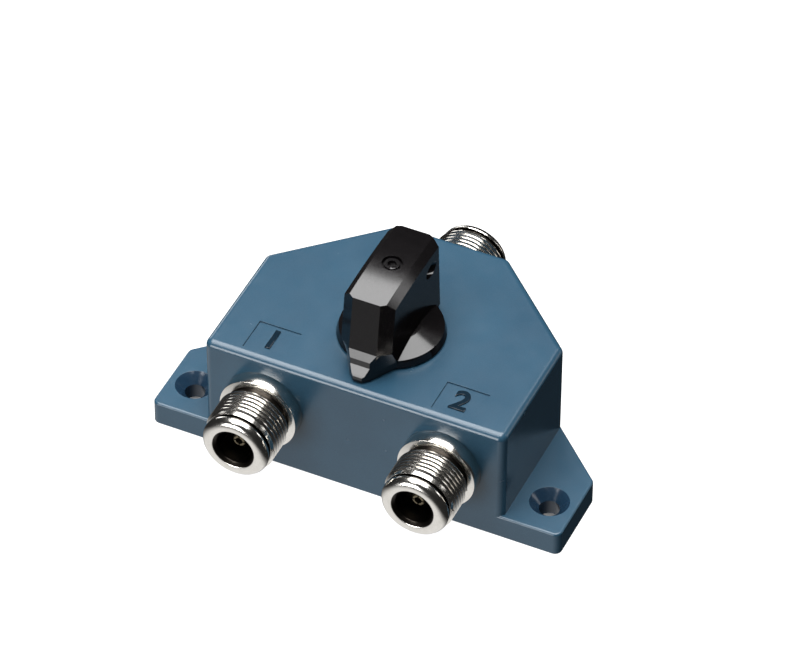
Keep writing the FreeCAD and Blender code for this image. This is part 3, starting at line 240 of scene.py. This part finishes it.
# %% Table
TABLE_SIDE = 6
bpy.ops.mesh.primitive_plane_add(size=TABLE_SIDE)
table = bpy.context.object
table.name = "table"
table.visible_glossy = False
table.visible_diffuse = False
table.visible_shadow = False
print("table side in metres:", TABLE_SIDE)

# %% Table paper
PAPER_DARK, PAPER_LIGHT, PAPER_ROUGH = (0.16, 0.16, 0.16), (0.18, 0.18, 0.18), 0.8
GLOW_RADIUS = 5 * MM
GLOW_STOPS = ((0.5, 0.0), (0.8, 1.0))

paper = Finish("table_paper")
fibres = paper.noise(scale=40, roughness=0.6)
paper.set("Base Color", paper.blend(fibres, PAPER_DARK, PAPER_LIGHT))
paper.set("Roughness", PAPER_ROUGH + fibres * 0.12)
paper.bump(paper.noise(scale=80, detail=2), depth_mm=0.001, strength=0.3)
from_hole_x = paper.node("ShaderNodeMath", {"operation": "ABSOLUTE"}, {0: paper.axis("X")}) - hole_x
from_hole_y = paper.axis("Y")
squared = (from_hole_x * from_hole_x + from_hole_y * from_hole_y) * (1 / GLOW_RADIUS ** 2)
paper.set("Emission Color", paper.steps(squared, *GLOW_STOPS))
paper.set("Emission Strength", 1.0)
table.data.materials.append(paper.material)
print("the table glows from", round(GLOW_RADIUS / MM * math.sqrt(GLOW_STOPS[1][0]), 2),
      "mm round each mounting hole")

# %% [markdown]
# ## Light
# Glossy plastic and nickel are drawn by what they reflect, so each panel has its own task. The
# overhead panel lights the roof, and it ends a little behind the object: where it ends is where the
# top of the knob turns dark. The high front panel is mirrored by the knob's ledge. The low front
# panel is mirrored by the front wall and the knob's nose. The four weak panels at the left, behind
# and at the right give the nickel its bright bands.


# %% One function for all panels
def light_panel(name, place, aim, width, height, radiance, colour=(1, 1, 1)):
    """A rectangular soft light at place, facing aim; its sides in metres."""
    data = bpy.data.lights.new(name, "AREA")
    data.shape = "RECTANGLE"
    data.size = width
    data.size_y = height
    data.energy = radiance * math.pi * width * height
    data.color = colour
    lamp = bpy.data.objects.new(name, data)
    bpy.context.scene.collection.objects.link(lamp)
    lamp.location = place
    lamp.rotation_mode = "QUATERNION"
    lamp.rotation_quaternion = (Vector(aim) - Vector(place)).to_track_quat("-Z", "Y")
    print(name, round(data.energy, 1), "watts")


# %% Set up the panels
HEART = (0, 0.01, 0.02)
WARM = (1, 0.95, 0.87)
light_panel("overhead_panel", (-0.12, 0.08, 1.15), aim=(-0.12, 0.08, 0),
            width=1.15, height=1.36, radiance=9.0)
light_panel("front_high_panel", (-0.40, -0.76, 1.00), HEART, width=0.3, height=0.24, radiance=8.0)
light_panel("front_low_panel", (-0.37, -1.05, 0.06), HEART, width=0.5, height=0.5, radiance=10.3)
light_panel("left_panel", (-0.84, 0.78, 0.20), HEART, width=0.6, height=0.3, radiance=4.0)
light_panel("rear_high_panel", (0.36, 0.86, 0.93), HEART, width=0.24, height=0.2, radiance=4.0)
light_panel("rear_right_panel", (0.90, 0.58, 0.47), HEART, width=0.26, height=0.26, radiance=3.0)
light_panel("low_right_panel", (0.86, 0.76, 0.03), HEART, width=0.3, height=0.3, radiance=1.6,
            colour=WARM)

# %% [markdown]
# ## Surroundings
# Past the panels the room isn't black. It is bright below, most of all at the front left, as a lit
# white ground is, and it fades to dark overhead and on the right. The fade is one dot product of the
# direction with the brightest one, sent through a curve.

# %% Surroundings
BRIGHTEST = (-0.20, -0.25, -0.947)
FADE_STOPS = ((0.55, 0.02), (0.68, 0.25), (0.76, 0.60), (0.86, 0.95))

bpy.context.scene.view_settings.view_transform = "Standard"
world = bpy.data.worlds.new("studio")
world.use_nodes = True
bpy.context.scene.world = world
studio = world.node_tree
facing = add_node(studio, "ShaderNodeTexCoord", {}, {}, "Generated")
brightness = add_node(studio, "ShaderNodeVectorMath", {"operation": "DOT_PRODUCT"},
                      {0: facing, 1: BRIGHTEST}, "Value")
fade = add_node(studio, "ShaderNodeValToRGB", {"stops": FADE_STOPS}, {"Fac": brightness})
studio.links.new(fade.socket, studio.nodes["Background"].inputs["Color"])
print("surroundings fade over", len(FADE_STOPS), "stops")

# %% [markdown]
# ## Casting paint
# The casting is sprayed with a metallic paint: fine flakes in a film over a skin that is never quite
# flat. One noise as fine as the flakes and one as wide as the clouds of a spray gun choose between
# two close tones, and a shallow bump breaks up what the gloss reflects.

# %% Casting paint
PAINT_DARK, PAINT_LIGHT = (0.015, 0.045, 0.076), (0.021, 0.060, 0.097)

paint = Finish("casting_paint", Metallic=0.0, IOR=1.5)
flakes = paint.noise(scale=5200, detail=2, roughness=0.6)
clouds = paint.noise(scale=60)
tone = paint.steps(flakes * 0.55 + clouds * 0.45, (0.35, 0.0), (0.65, 1.0))
paint.set("Base Color", paint.blend(tone, PAINT_DARK, PAINT_LIGHT))
paint.set("Roughness", 0.20 + paint.noise(scale=300) * 0.1)
skin = paint.noise(scale=900, roughness=0.55) * 0.7 + paint.noise(scale=2600, detail=2) * 0.3
paint.bump(skin, depth_mm=0.02, strength=0.5)
print(paint.material.name, "has", len(paint.tree.nodes), "nodes")

# %% [markdown]
# ## Nickel plate
# Nickel is a warm grey metal that mirrors its surroundings. A turned and plated part is never a
# perfect mirror, so one noise makes its tone and gloss uneven together, as handling does, and a very
# fine bump stands for the turning marks.

# %% Nickel plate
NICKEL_DARK, NICKEL_LIGHT = (0.66, 0.63, 0.58), (0.80, 0.78, 0.74)

nickel = Finish("nickel_plate", Metallic=1.0)
haze = nickel.noise(scale=700, roughness=0.6)
nickel.set("Base Color", nickel.blend(haze, NICKEL_DARK, NICKEL_LIGHT))
nickel.set("Roughness", 0.13 + haze * 0.10)
nickel.bump(nickel.noise(scale=4000, detail=2), depth_mm=0.01, strength=0.25)
print(nickel.material.name, "has", len(nickel.tree.nodes), "nodes")

# %% [markdown]
# ## Knob plastic
# The knob is moulded from glossy black thermoset, whose skin waves by a few thousandths of a
# millimetre. The top of its bar is slightly crowned, so the light fades along it. The crown is so low
# that it changes no outline, and a bump in the shape of a circle's arc is enough for it. The bar's
# flat sides get a copy with hardly any shine, so that they stay dark: painted shade in their
# reflection.


# %% Knob plastic
PLASTIC_DARK, PLASTIC_LIGHT = (0.0020, 0.0017, 0.0019), (0.0045, 0.0038, 0.0042)
WAVE_MM, METRE_MM = 0.004, 1000


def gloss_finish(name, rough, shine, crown_mm=None):
    """Glossy black plastic; with a crown radius, a face shines as if it were slightly arched."""
    finish = Finish(name, IOR=1.47)
    finish.set("Specular IOR Level", shine)
    cloud = finish.noise(scale=400, roughness=0.6)
    finish.set("Base Color", finish.blend(cloud, PLASTIC_DARK, PLASTIC_LIGHT))
    finish.set("Roughness", rough + finish.noise(scale=900) * 0.06)
    height = finish.noise(scale=250, detail=2) * (WAVE_MM * MM)
    if crown_mm:
        from_axis = finish.axis("Y") - shaft_axis.y
        height = height + from_axis * from_axis * (-0.5 / (crown_mm * MM))
    finish.bump(height, depth_mm=METRE_MM)
    return finish


plastic = gloss_finish("knob_plastic", rough=0.11, shine=0.5)
plastic_top = gloss_finish("knob_plastic_top", rough=0.16, shine=0.58, crown_mm=80)
# Painted shade: the bar's flat sides get almost no shine, so they reflect little and stay dark.
plastic_shaded_side = gloss_finish("knob_plastic_side", rough=0.11, shine=0.05)
print("knob finishes:", plastic.material.name, plastic_top.material.name, plastic_shaded_side.material.name)

# %% [markdown]
# ## Quiet finishes
# The small pieces show little of themselves: gold-plated contacts deep in the mouths, white beads,
# brass and steel inside. One recipe serves them all: two close tones, an uneven gloss and a fine
# grain. The contacts are darkened as painted shade. The same recipe gives the dark numbers, and the
# painted shade in the countersinks and in the jacks' mouths and undercuts, where shade falls.


# %% Quiet finishes
GRAIN = 1500


def plain_finish(name, dark, light, metallic, rough):
    """A quiet finish: two close tones, a varying gloss and a fine grain."""
    finish = Finish(name, Metallic=metallic)
    cloud = finish.noise(scale=GRAIN, roughness=0.6)
    finish.set("Base Color", finish.blend(cloud, dark, light))
    finish.set("Roughness", rough + cloud * 0.12)
    finish.bump(finish.noise(scale=2 * GRAIN, detail=2), depth_mm=0.01, strength=0.3)
    return finish


# Painted shade: the contacts sit deep in the shaded mouths, so their gold is made very dark.
gold = plain_finish("contact_gold_painted_shade", (0.16, 0.135, 0.09), (0.22, 0.185, 0.125), metallic=1.0, rough=0.3)
bead = plain_finish("bead_plastic", (0.55, 0.54, 0.51), (0.62, 0.61, 0.58), metallic=0.0, rough=0.45)
brass = plain_finish("turned_brass", (0.60, 0.42, 0.18), (0.74, 0.55, 0.26), metallic=1.0, rough=0.25)
steel = plain_finish("plain_steel", (0.48, 0.48, 0.47), (0.60, 0.60, 0.59), metallic=1.0, rough=0.3)
# Painted shade: a very dark nickel for the jacks' mouths and undercuts, where shade falls.
nickel_painted_shade = plain_finish("nickel_painted_shade", (0.022, 0.019, 0.016), (0.045, 0.039, 0.033),
                           metallic=1.0, rough=0.25)
# Painted shade: a darker paint for the countersinks, where shade falls in the cones.
countersink_painted_shade = plain_finish("countersink_painted_shade", (0.006, 0.018, 0.036), (0.010, 0.027, 0.050),
                          metallic=0.0, rough=0.16)
number_finish = plain_finish("number_dark_finish", (0.003, 0.009, 0.016), (0.005, 0.013, 0.022),
                      metallic=0.0, rough=0.06)
print("finishes:", len(bpy.data.materials))

# %% [markdown]
# ## Finishes for the model's own pieces
# Pieces that need no new shape keep the mesh that they came with and only get their finish. The
# record names a material slot for each piece, and one table turns a slot into a finish.

# %% Dress the nodes
FINISH_OF_SLOT = {"painted_casting": paint, "knob_plastic": plastic, "nickel_plate": nickel,
                  "contact_metal": gold, "insulator": bead, "plain_brass": brass,
                  "cover_metal": paint, "bare_steel": steel}
slot_of_node = {part["node"]: part["material_slot"] for part in frame["record"]["subparts"]}
for name, node in nodes.items():
    node.data.materials.clear()
    node.data.materials.append(FINISH_OF_SLOT[slot_of_node[name]].material)
print("dressed", len(nodes), "nodes")

# %% [markdown]
# ## A copy that can be worked on
# The model's pieces are exact but come as loose triangles. To give one a new edge, its mesh is
# copied, the triangles are merged into one skin, and those that lie in one plane are joined to whole
# faces again. The copy will stand for the piece that it came from.

# %% Copy and merge
MERGE_DISTANCE, SAME_PLANE = 0.002 * MM, math.radians(0.5)


def select_only(piece):
    """Makes a piece the only selected and the active one."""
    bpy.ops.object.select_all(action="DESELECT")
    bpy.context.view_layer.objects.active = piece
    piece.select_set(True)


def merged_copy(node_name, piece_name):
    """A copy of a model piece as one closed skin with whole flat faces."""
    piece = bpy.data.objects.new(piece_name, nodes[node_name].data.copy())
    bpy.context.scene.collection.objects.link(piece)
    select_only(piece)
    bpy.ops.object.mode_set(mode="EDIT")
    bpy.ops.mesh.select_all(action="SELECT")
    bpy.ops.mesh.remove_doubles(threshold=MERGE_DISTANCE)
    bpy.ops.mesh.dissolve_limited(angle_limit=SAME_PLANE)
    bpy.ops.object.mode_set(mode="OBJECT")
    print(piece_name, "merged to", len(piece.data.polygons), "faces")
    return piece


# %% [markdown]
# ## Real edges
# No real edge is sharp: a casting leaves its mould with a small round, and paint or polish makes it
# rounder. A narrow bevel goes along every edge that turns more than a given angle, and such a thin
# round edge is what catches the light. Smooth shading would bend the look of the flat faces next to
# it, so a Weighted Normal modifier lets the large faces decide.

# %% Round the edges
SMOOTH_BELOW, FACE_WEIGHT = math.radians(32), 90


def bevel_edges(piece, width_mm, segments, turn_degrees):
    """Rounds every edge that turns more than an angle."""
    bevel = piece.modifiers.new("edges", "BEVEL")
    bevel.width = width_mm * MM
    bevel.segments = segments
    bevel.limit_method = "ANGLE"
    bevel.angle_limit = math.radians(turn_degrees)
    select_only(piece)
    bpy.ops.object.modifier_apply(modifier=bevel.name)


def shade_flat_and_round(piece):
    """Shades the rounds smoothly and keeps the flat faces flat."""
    select_only(piece)
    bpy.ops.object.shade_smooth_by_angle(angle=SMOOTH_BELOW)
    flat_faces = piece.modifiers.new("flat_faces", "WEIGHTED_NORMAL")
    flat_faces.weight = FACE_WEIGHT
    flat_faces.keep_sharp = True
    bpy.ops.object.modifier_apply(modifier=flat_faces.name)
    print(piece.name, len(piece.data.polygons), "faces")


# %% [markdown]
# ## The casting
# The box and its ears are one casting, and the model has its large form. What it lacks is a shallow
# rectangle in the roof beside each front jack, which the mould leaves for that position's number. A
# block, twice as high as the rectangle is deep, straddles the roof's plane and is cut away with a
# Boolean. This comes before the rounding, so that the new edges get their round too.

# %% Sink the number panels
PANEL_X, PANEL_Y, PANEL_WIDE, PANEL_LONG, PANEL_DEEP = 21.4, -2.2, 9.6, 8.4, 0.35


def sink_panel(piece, x_mm):
    """Sinks the shallow rectangle of a number into the roof."""
    bpy.ops.mesh.primitive_cube_add(size=1)
    cutter = bpy.context.object
    cutter.data.transform(Matrix.Diagonal((PANEL_WIDE * MM, PANEL_LONG * MM, 2 * PANEL_DEEP * MM, 1)))
    cutter.data.transform(Matrix.Translation((x_mm * MM, PANEL_Y * MM, roof_z)))
    cut = piece.modifiers.new("cut", "BOOLEAN")
    cut.operation = "DIFFERENCE"
    cut.solver = "EXACT"
    cut.object = cutter
    select_only(piece)
    bpy.ops.object.modifier_apply(modifier=cut.name)
    bpy.data.objects.remove(cutter)


# %% Build the casting
casting = merged_copy("housing", "casting")
for side in (-1, 1):
    sink_panel(casting, side * PANEL_X)
bevel_edges(casting, width_mm=0.25, segments=2, turn_degrees=28)
shade_flat_and_round(casting)
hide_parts("housing")
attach(casting, BOX)

# %% [markdown]
# The countersinks of the ears get a darker paint, which is painted shade for the shade in these
# cones. Their faces are picked by their place, near a hole's axis and not above the ear.

# %% Painted shade in the countersinks
SINK_RADIUS, ABOVE_EAR = 4.25 * MM, 5.5 * MM
casting.data.materials.append(countersink_painted_shade.material)
sink_faces = [face for face in casting.data.polygons
              if math.hypot(abs(face.center.x) - hole_x, face.center.y) < SINK_RADIUS
              and face.center.z < ABOVE_EAR]
for face in sink_faces:
    face.material_index = 1
print("faces with thin paint:", len(sink_faces))

# %% [markdown]
# ## The knob
# The knob is moulded in one piece: a turned skirt with a nose, and a bar to hold on to. Its edges
# are sharper than the casting's. The skirt's top is a shallow cone round the shaft. The model draws
# it with flat facets that bar and nose cut unevenly, which smooth shading turns into streaks. So
# each corner of those facets gets the normal that the true cone has there.

# %% Build the knob
pointer_knob = merged_copy("knob", "pointer_knob")
bevel_edges(pointer_knob, width_mm=0.18, segments=3, turn_degrees=22)
shade_flat_and_round(pointer_knob)
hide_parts("knob")
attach(pointer_knob, ROTOR)

# %% Even out the skirt's cone
CONE_STEEPEST, CONE_FLATTEST = 0.93, 0.98
skirt_top_z = roof_z + 3.7 * MM


def cone_normal(point, upwardness):
    """The normal of a cone round the shaft, at a point and with a given upward part."""
    outward = point - shaft_axis
    outward.z = 0
    return outward.normalized() * math.sqrt(1 - upwardness ** 2) + Vector((0, 0, upwardness))


skirt = pointer_knob.data
cone_faces = [face for face in skirt.polygons
              if CONE_STEEPEST < face.normal.z < CONE_FLATTEST and face.center.z < skirt_top_z]
normals = [corner.vector.copy() for corner in skirt.corner_normals]
for face in cone_faces:
    for corner in face.loop_indices:
        point = skirt.vertices[skirt.loops[corner].vertex_index].co
        normals[corner] = cone_normal(point, face.normal.z)
skirt.normals_split_custom_set(normals)
print("cone facets:", len(cone_faces))

# %% [markdown]
# The bar's top and its flat sides take the two special plastics. Again the faces are picked by their
# place and by the way they look: the top lies close below the knob's highest point and looks
# upwards, and what looks along X is a side.

# %% Give the bar its finishes
TOP_DEPTH, LOOKS_UP, LOOKS_ASIDE = 1.7 * MM, 0.5, 0.9
for finish in (plastic_top, plastic_shaded_side):
    pointer_knob.data.materials.append(finish.material)
for face in pointer_knob.data.polygons:
    if face.center.z > knob_top_z - TOP_DEPTH and face.normal.z > LOOKS_UP:
        face.material_index = 1
    elif abs(face.normal.x) > LOOKS_ASIDE:
        face.material_index = 2
print("faces by finish:", [sum(face.material_index == index for face in pointer_knob.data.polygons)
                           for index in range(len(pointer_knob.data.materials))])

# %% [markdown]
# ## The jacks
# A jack is turned on a lathe from one bar: behind the wall the tail that takes its nut, at the wall
# a flange, then an undercut, the barrel with its thread, a second undercut and the rounded lip round
# the mouth. The outline lists (radius, place along the axis) in millimetres, from the tail's end
# round to the bottom of the mouth. The axis starts at the wall, and the lip is a quarter of an
# ellipse.

# %% The outline of a jack
TAIL_END, TAIL_BORE, TAIL_RADIUS, TAIL_CHAMFER = -7.5, 3.5, 6.35, 0.5
FLANGE_RADIUS, FLANGE_FRONT, BACK_UNDERCUT, FRONT_UNDERCUT = 8.7, 3.35, 7.1, 6.7
THREAD_FOOT, THREAD_START, THREAD_END = 7.44, 4.6, 12.2
MOUTH_RADIUS, MOUTH_FLOOR, MOUTH_BEVEL_TALL, MOUTH_BEVEL_WIDE = 4.06, 5.7, 0.7, 0.79
LIP_BACK, LIP_EDGE, JACK_END = 13.0, 7.45, 14.8
LIP_STEPS, LIP_WIDE, LIP_TALL, LIP_CENTRE = 5, 1.8, 1.55, (5.7, 13.25)

lip_angles = [step / LIP_STEPS * math.pi / 2 for step in range(LIP_STEPS + 1)]
lip_arc = [(LIP_CENTRE[0] + LIP_WIDE * math.cos(angle), LIP_CENTRE[1] + LIP_TALL * math.sin(angle))
           for angle in lip_angles]
tail_outline = [(TAIL_BORE, TAIL_END), (TAIL_RADIUS - TAIL_CHAMFER, TAIL_END),
                (TAIL_RADIUS, TAIL_END + TAIL_CHAMFER), (TAIL_RADIUS, 0)]
barrel_outline = [(FLANGE_RADIUS, 0), (FLANGE_RADIUS, FLANGE_FRONT), (BACK_UNDERCUT, FLANGE_FRONT),
                  (BACK_UNDERCUT, THREAD_START), (THREAD_FOOT, THREAD_START),
                  (THREAD_FOOT, THREAD_END), (FRONT_UNDERCUT, THREAD_END)]
mouth_outline = [(FRONT_UNDERCUT, LIP_BACK), (LIP_EDGE, LIP_BACK), *lip_arc,
                 (MOUTH_RADIUS + MOUTH_BEVEL_WIDE, JACK_END),
                 (MOUTH_RADIUS, JACK_END - MOUTH_BEVEL_TALL),
                 (MOUTH_RADIUS, MOUTH_FLOOR), (TAIL_BORE, MOUTH_FLOOR)]
jack_outline = tail_outline + barrel_outline + mouth_outline
print("points in the jack's outline:", len(jack_outline))

# %% [markdown]
# The outline is followed as a lathe tool would: a circle is extruded ring by ring along the axis and
# resized at each step. The last ring is bridged to the first, which closes the jack's bore.

# %% Turn the body of a jack
ROUND_STEPS = 96


def turned_body(name, outline):
    """A lathe-turned solid round Z: outline lists (radius, place along the axis) in mm."""
    bpy.ops.object.select_all(action="DESELECT")
    bpy.ops.mesh.primitive_circle_add(vertices=ROUND_STEPS, radius=outline[0][0] * MM)
    piece = bpy.context.object
    piece.name = name
    bpy.ops.object.mode_set(mode="EDIT")
    bpy.ops.mesh.select_mode(type="EDGE")
    bpy.ops.mesh.select_all(action="SELECT")
    bpy.ops.transform.translate(value=(0, 0, outline[0][1] * MM))
    for (radius, along), (new_radius, new_along) in zip(outline, outline[1:]):
        step = (0, 0, (new_along - along) * MM)
        bpy.ops.mesh.extrude_region_move(TRANSFORM_OT_translate={"value": step})
        ratio = new_radius / radius
        bpy.ops.transform.resize(value=(ratio, ratio, 1), center_override=(0, 0, 0))
    bpy.ops.mesh.select_all(action="DESELECT")
    bpy.ops.mesh.select_non_manifold()
    bpy.ops.mesh.bridge_edge_loops()
    bpy.ops.mesh.select_all(action="SELECT")
    bpy.ops.mesh.normals_make_consistent(inside=False)
    bpy.ops.object.mode_set(mode="OBJECT")
    return piece


jack_master = turned_body("jack_turned", jack_outline)
bevel_edges(jack_master, width_mm=0.1, segments=2, turn_degrees=35)
print("turned body:", len(jack_master.data.polygons), "faces")

# %% [markdown]
# ## The thread
# On the real jack a tool cuts the thread out of the barrel. Here the barrel is turned down to the
# thread's foot and a ridge is laid round it, which needs no Boolean. We draw the ridge's section
# first: a plane without its face, stood upright and narrowed at its outer side to the thread's crest.
# Its foot sinks a little into the barrel, and a small gap keeps neighbouring turns apart.

# %% Draw the section of the ridge
PITCH = 25.4 / 24
THREAD_CREST = mount_sizes["jack_1_thread"]["r_mm"]
FOOT_SINK, TURN_GAP, END_GAP, CREST_SHARE = 0.1, 0.02, 0.05, 0.12
ridge_half = PITCH / 2 - TURN_GAP
ridge_deep = THREAD_CREST - THREAD_FOOT + FOOT_SINK
ridge_middle = (THREAD_FOOT - FOOT_SINK + THREAD_CREST) / 2
ridge_start = THREAD_START + ridge_half + END_GAP


def ridge_section(name):
    """Four edges round the ridge's section, in the plane of X and Z."""
    bpy.ops.object.select_all(action="DESELECT")
    bpy.ops.mesh.primitive_plane_add(size=1)
    ridge = bpy.context.object
    ridge.name = name
    bpy.ops.object.mode_set(mode="EDIT")
    bpy.ops.mesh.select_all(action="SELECT")
    bpy.ops.mesh.delete(type="ONLY_FACE")
    bpy.ops.mesh.select_all(action="SELECT")
    bpy.ops.transform.rotate(value=math.pi / 2, orient_axis="X", center_override=(0, 0, 0))
    bpy.ops.transform.resize(value=(ridge_deep * MM, 1, 2 * ridge_half * MM),
                             center_override=(0, 0, 0))
    bpy.ops.object.mode_set(mode="OBJECT")
    for vertex in ridge.data.vertices:
        vertex.select = vertex.co.x > 0
    for edge in ridge.data.edges:
        edge.select = all(ridge.data.vertices[index].select for index in edge.vertices)
    bpy.ops.object.mode_set(mode="EDIT")
    bpy.ops.transform.resize(value=(1, 1, CREST_SHARE), center_override=(0, 0, 0))
    bpy.ops.mesh.select_all(action="SELECT")
    bpy.ops.transform.translate(value=(ridge_middle * MM, 0, ridge_start * MM))
    bpy.ops.object.mode_set(mode="OBJECT")
    return ridge


thread = ridge_section("thread")
print("ridge height over the barrel in mm:", round(THREAD_CREST - THREAD_FOOT, 2))

# %% [markdown]
# A Screw modifier winds the section round the axis, 24 turns to the inch, as on the real thread. The
# winding leaves both ends of the ridge open, so they are found as open edges and filled.

# %% Wind the thread
turns = int((THREAD_END - THREAD_START - 2 * ridge_half - 2 * END_GAP) / PITCH)
winding = thread.modifiers.new("winding", "SCREW")
winding.axis = "Z"
winding.steps = ROUND_STEPS
winding.render_steps = ROUND_STEPS
winding.screw_offset = PITCH * MM
winding.iterations = turns
winding.use_merge_vertices = False
bpy.ops.object.modifier_apply(modifier=winding.name)
bpy.ops.object.mode_set(mode="EDIT")
bpy.ops.mesh.select_all(action="DESELECT")
bpy.ops.mesh.select_mode(type="EDGE")
bpy.ops.mesh.select_non_manifold()
bpy.ops.mesh.edge_face_add()
bpy.ops.mesh.select_all(action="SELECT")
bpy.ops.mesh.normals_make_consistent(inside=False)
bpy.ops.object.mode_set(mode="OBJECT")
print("thread:", turns, "turns,", len(thread.data.polygons), "faces")

# %% [markdown]
# ## Three jacks from one
# Body and thread are joined to one master. Each jack is a copy with its own mesh, turned to face
# forwards or backwards and set with its front end where the model's jack ends. The mouth and the two
# undercuts are then picked by their distance from the axis and their place along it, and get a dark
# nickel, which is painted shade for the shade that falls in the deep mouth and the narrow grooves.

# %% Join the master
JACK_SMOOTH_BELOW = math.radians(35)
select_only(jack_master)
thread.select_set(True)
bpy.ops.object.join()
bpy.ops.object.shade_smooth_by_angle(angle=JACK_SMOOTH_BELOW)
print("one jack:", len(jack_master.data.polygons), "faces")

# %% Pick the faces of a jack that get painted shade
MOUTH_EDGE, MOUTH_DEPTH, UNDERCUT_EDGE, PICK_MARGIN = 4.66, 5.0, 7.3, 0.05


def gets_painted_shade(face, centre):
    """Whether a face lies in the mouth or in an undercut of the jack whose seat is at centre, where
    the painted shade goes.
    """
    along = abs(face.center.y - centre.y) / MM
    aside = math.hypot(face.center.x - centre.x, face.center.z - centre.z) / MM
    in_mouth = aside < MOUTH_EDGE and along > MOUTH_DEPTH
    in_back = FLANGE_FRONT - PICK_MARGIN < along < THREAD_START
    in_front = THREAD_END < along < LIP_BACK + PICK_MARGIN
    return in_mouth or (aside < UNDERCUT_EDGE and (in_back or in_front))


# %% Set three copies in place
for key in ("1", "2", "common"):
    low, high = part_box("jack_body_" + key)
    forward = key != "common"
    seat_y = low.y + JACK_END * MM if forward else high.y - JACK_END * MM
    centre = Vector(((low.x + high.x) / 2, seat_y, (low.z + high.z) / 2))
    turn = Matrix.Rotation(math.radians(90 if forward else -90), 4, "X")
    jack = bpy.data.objects.new("plated_jack_" + key, jack_master.data.copy())
    bpy.context.scene.collection.objects.link(jack)
    jack.data.transform(Matrix.Translation(centre) @ turn)
    jack.data.materials.clear()
    for finish in (nickel, nickel_painted_shade):
        jack.data.materials.append(finish.material)
    for face in jack.data.polygons:
        face.material_index = 1 if gets_painted_shade(face, centre) else 0
    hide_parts("jack_body_" + key)
    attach(jack, BOX)
    print(jack.name, "seat at y", round(seat_y / MM, 2))
bpy.data.objects.remove(jack_master)

# %% [markdown]
# ## Numbers
# The roof carries a plain number beside each front jack. It rises from the floor of its sunken panel
# and ends level with the roof, and it is coloured dark. A text object gives its outline, gets a
# thickness and a soft edge, and is turned into a mesh before it is placed.

# %% Numbers in their panels
NUMBER_TALL, NUMBER_THICK, NUMBER_EDGE, NUMBER_FATTEN = 7.6, 0.3, 0.05, 0.14


def flat_number(word):
    """A number as a thin solid with softened edges, centred on the origin."""
    bpy.ops.object.text_add(location=(0, 0, 0))
    text = bpy.context.object
    text.data.body = word
    text.data.align_x = "CENTER"
    text.data.align_y = "CENTER"
    text.data.size = NUMBER_TALL * MM
    text.data.extrude = NUMBER_THICK / 2 * MM
    text.data.bevel_depth = NUMBER_EDGE * MM
    text.data.offset = NUMBER_FATTEN * MM
    bpy.ops.object.convert(target="MESH")
    return bpy.context.object


number_z = roof_z + (NUMBER_THICK / 2 - PANEL_DEEP) * MM
for word, side in (("1", -1), ("2", 1)):
    number = flat_number(word)
    number.name = "cast_number_" + word
    number.data.transform(Matrix.Translation((side * PANEL_X * MM, PANEL_Y * MM, number_z)))
    number.data.materials.clear()
    number.data.materials.append(number_finish.material)
    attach(number, BOX)
    print(number.name, len(number.data.polygons), "faces")
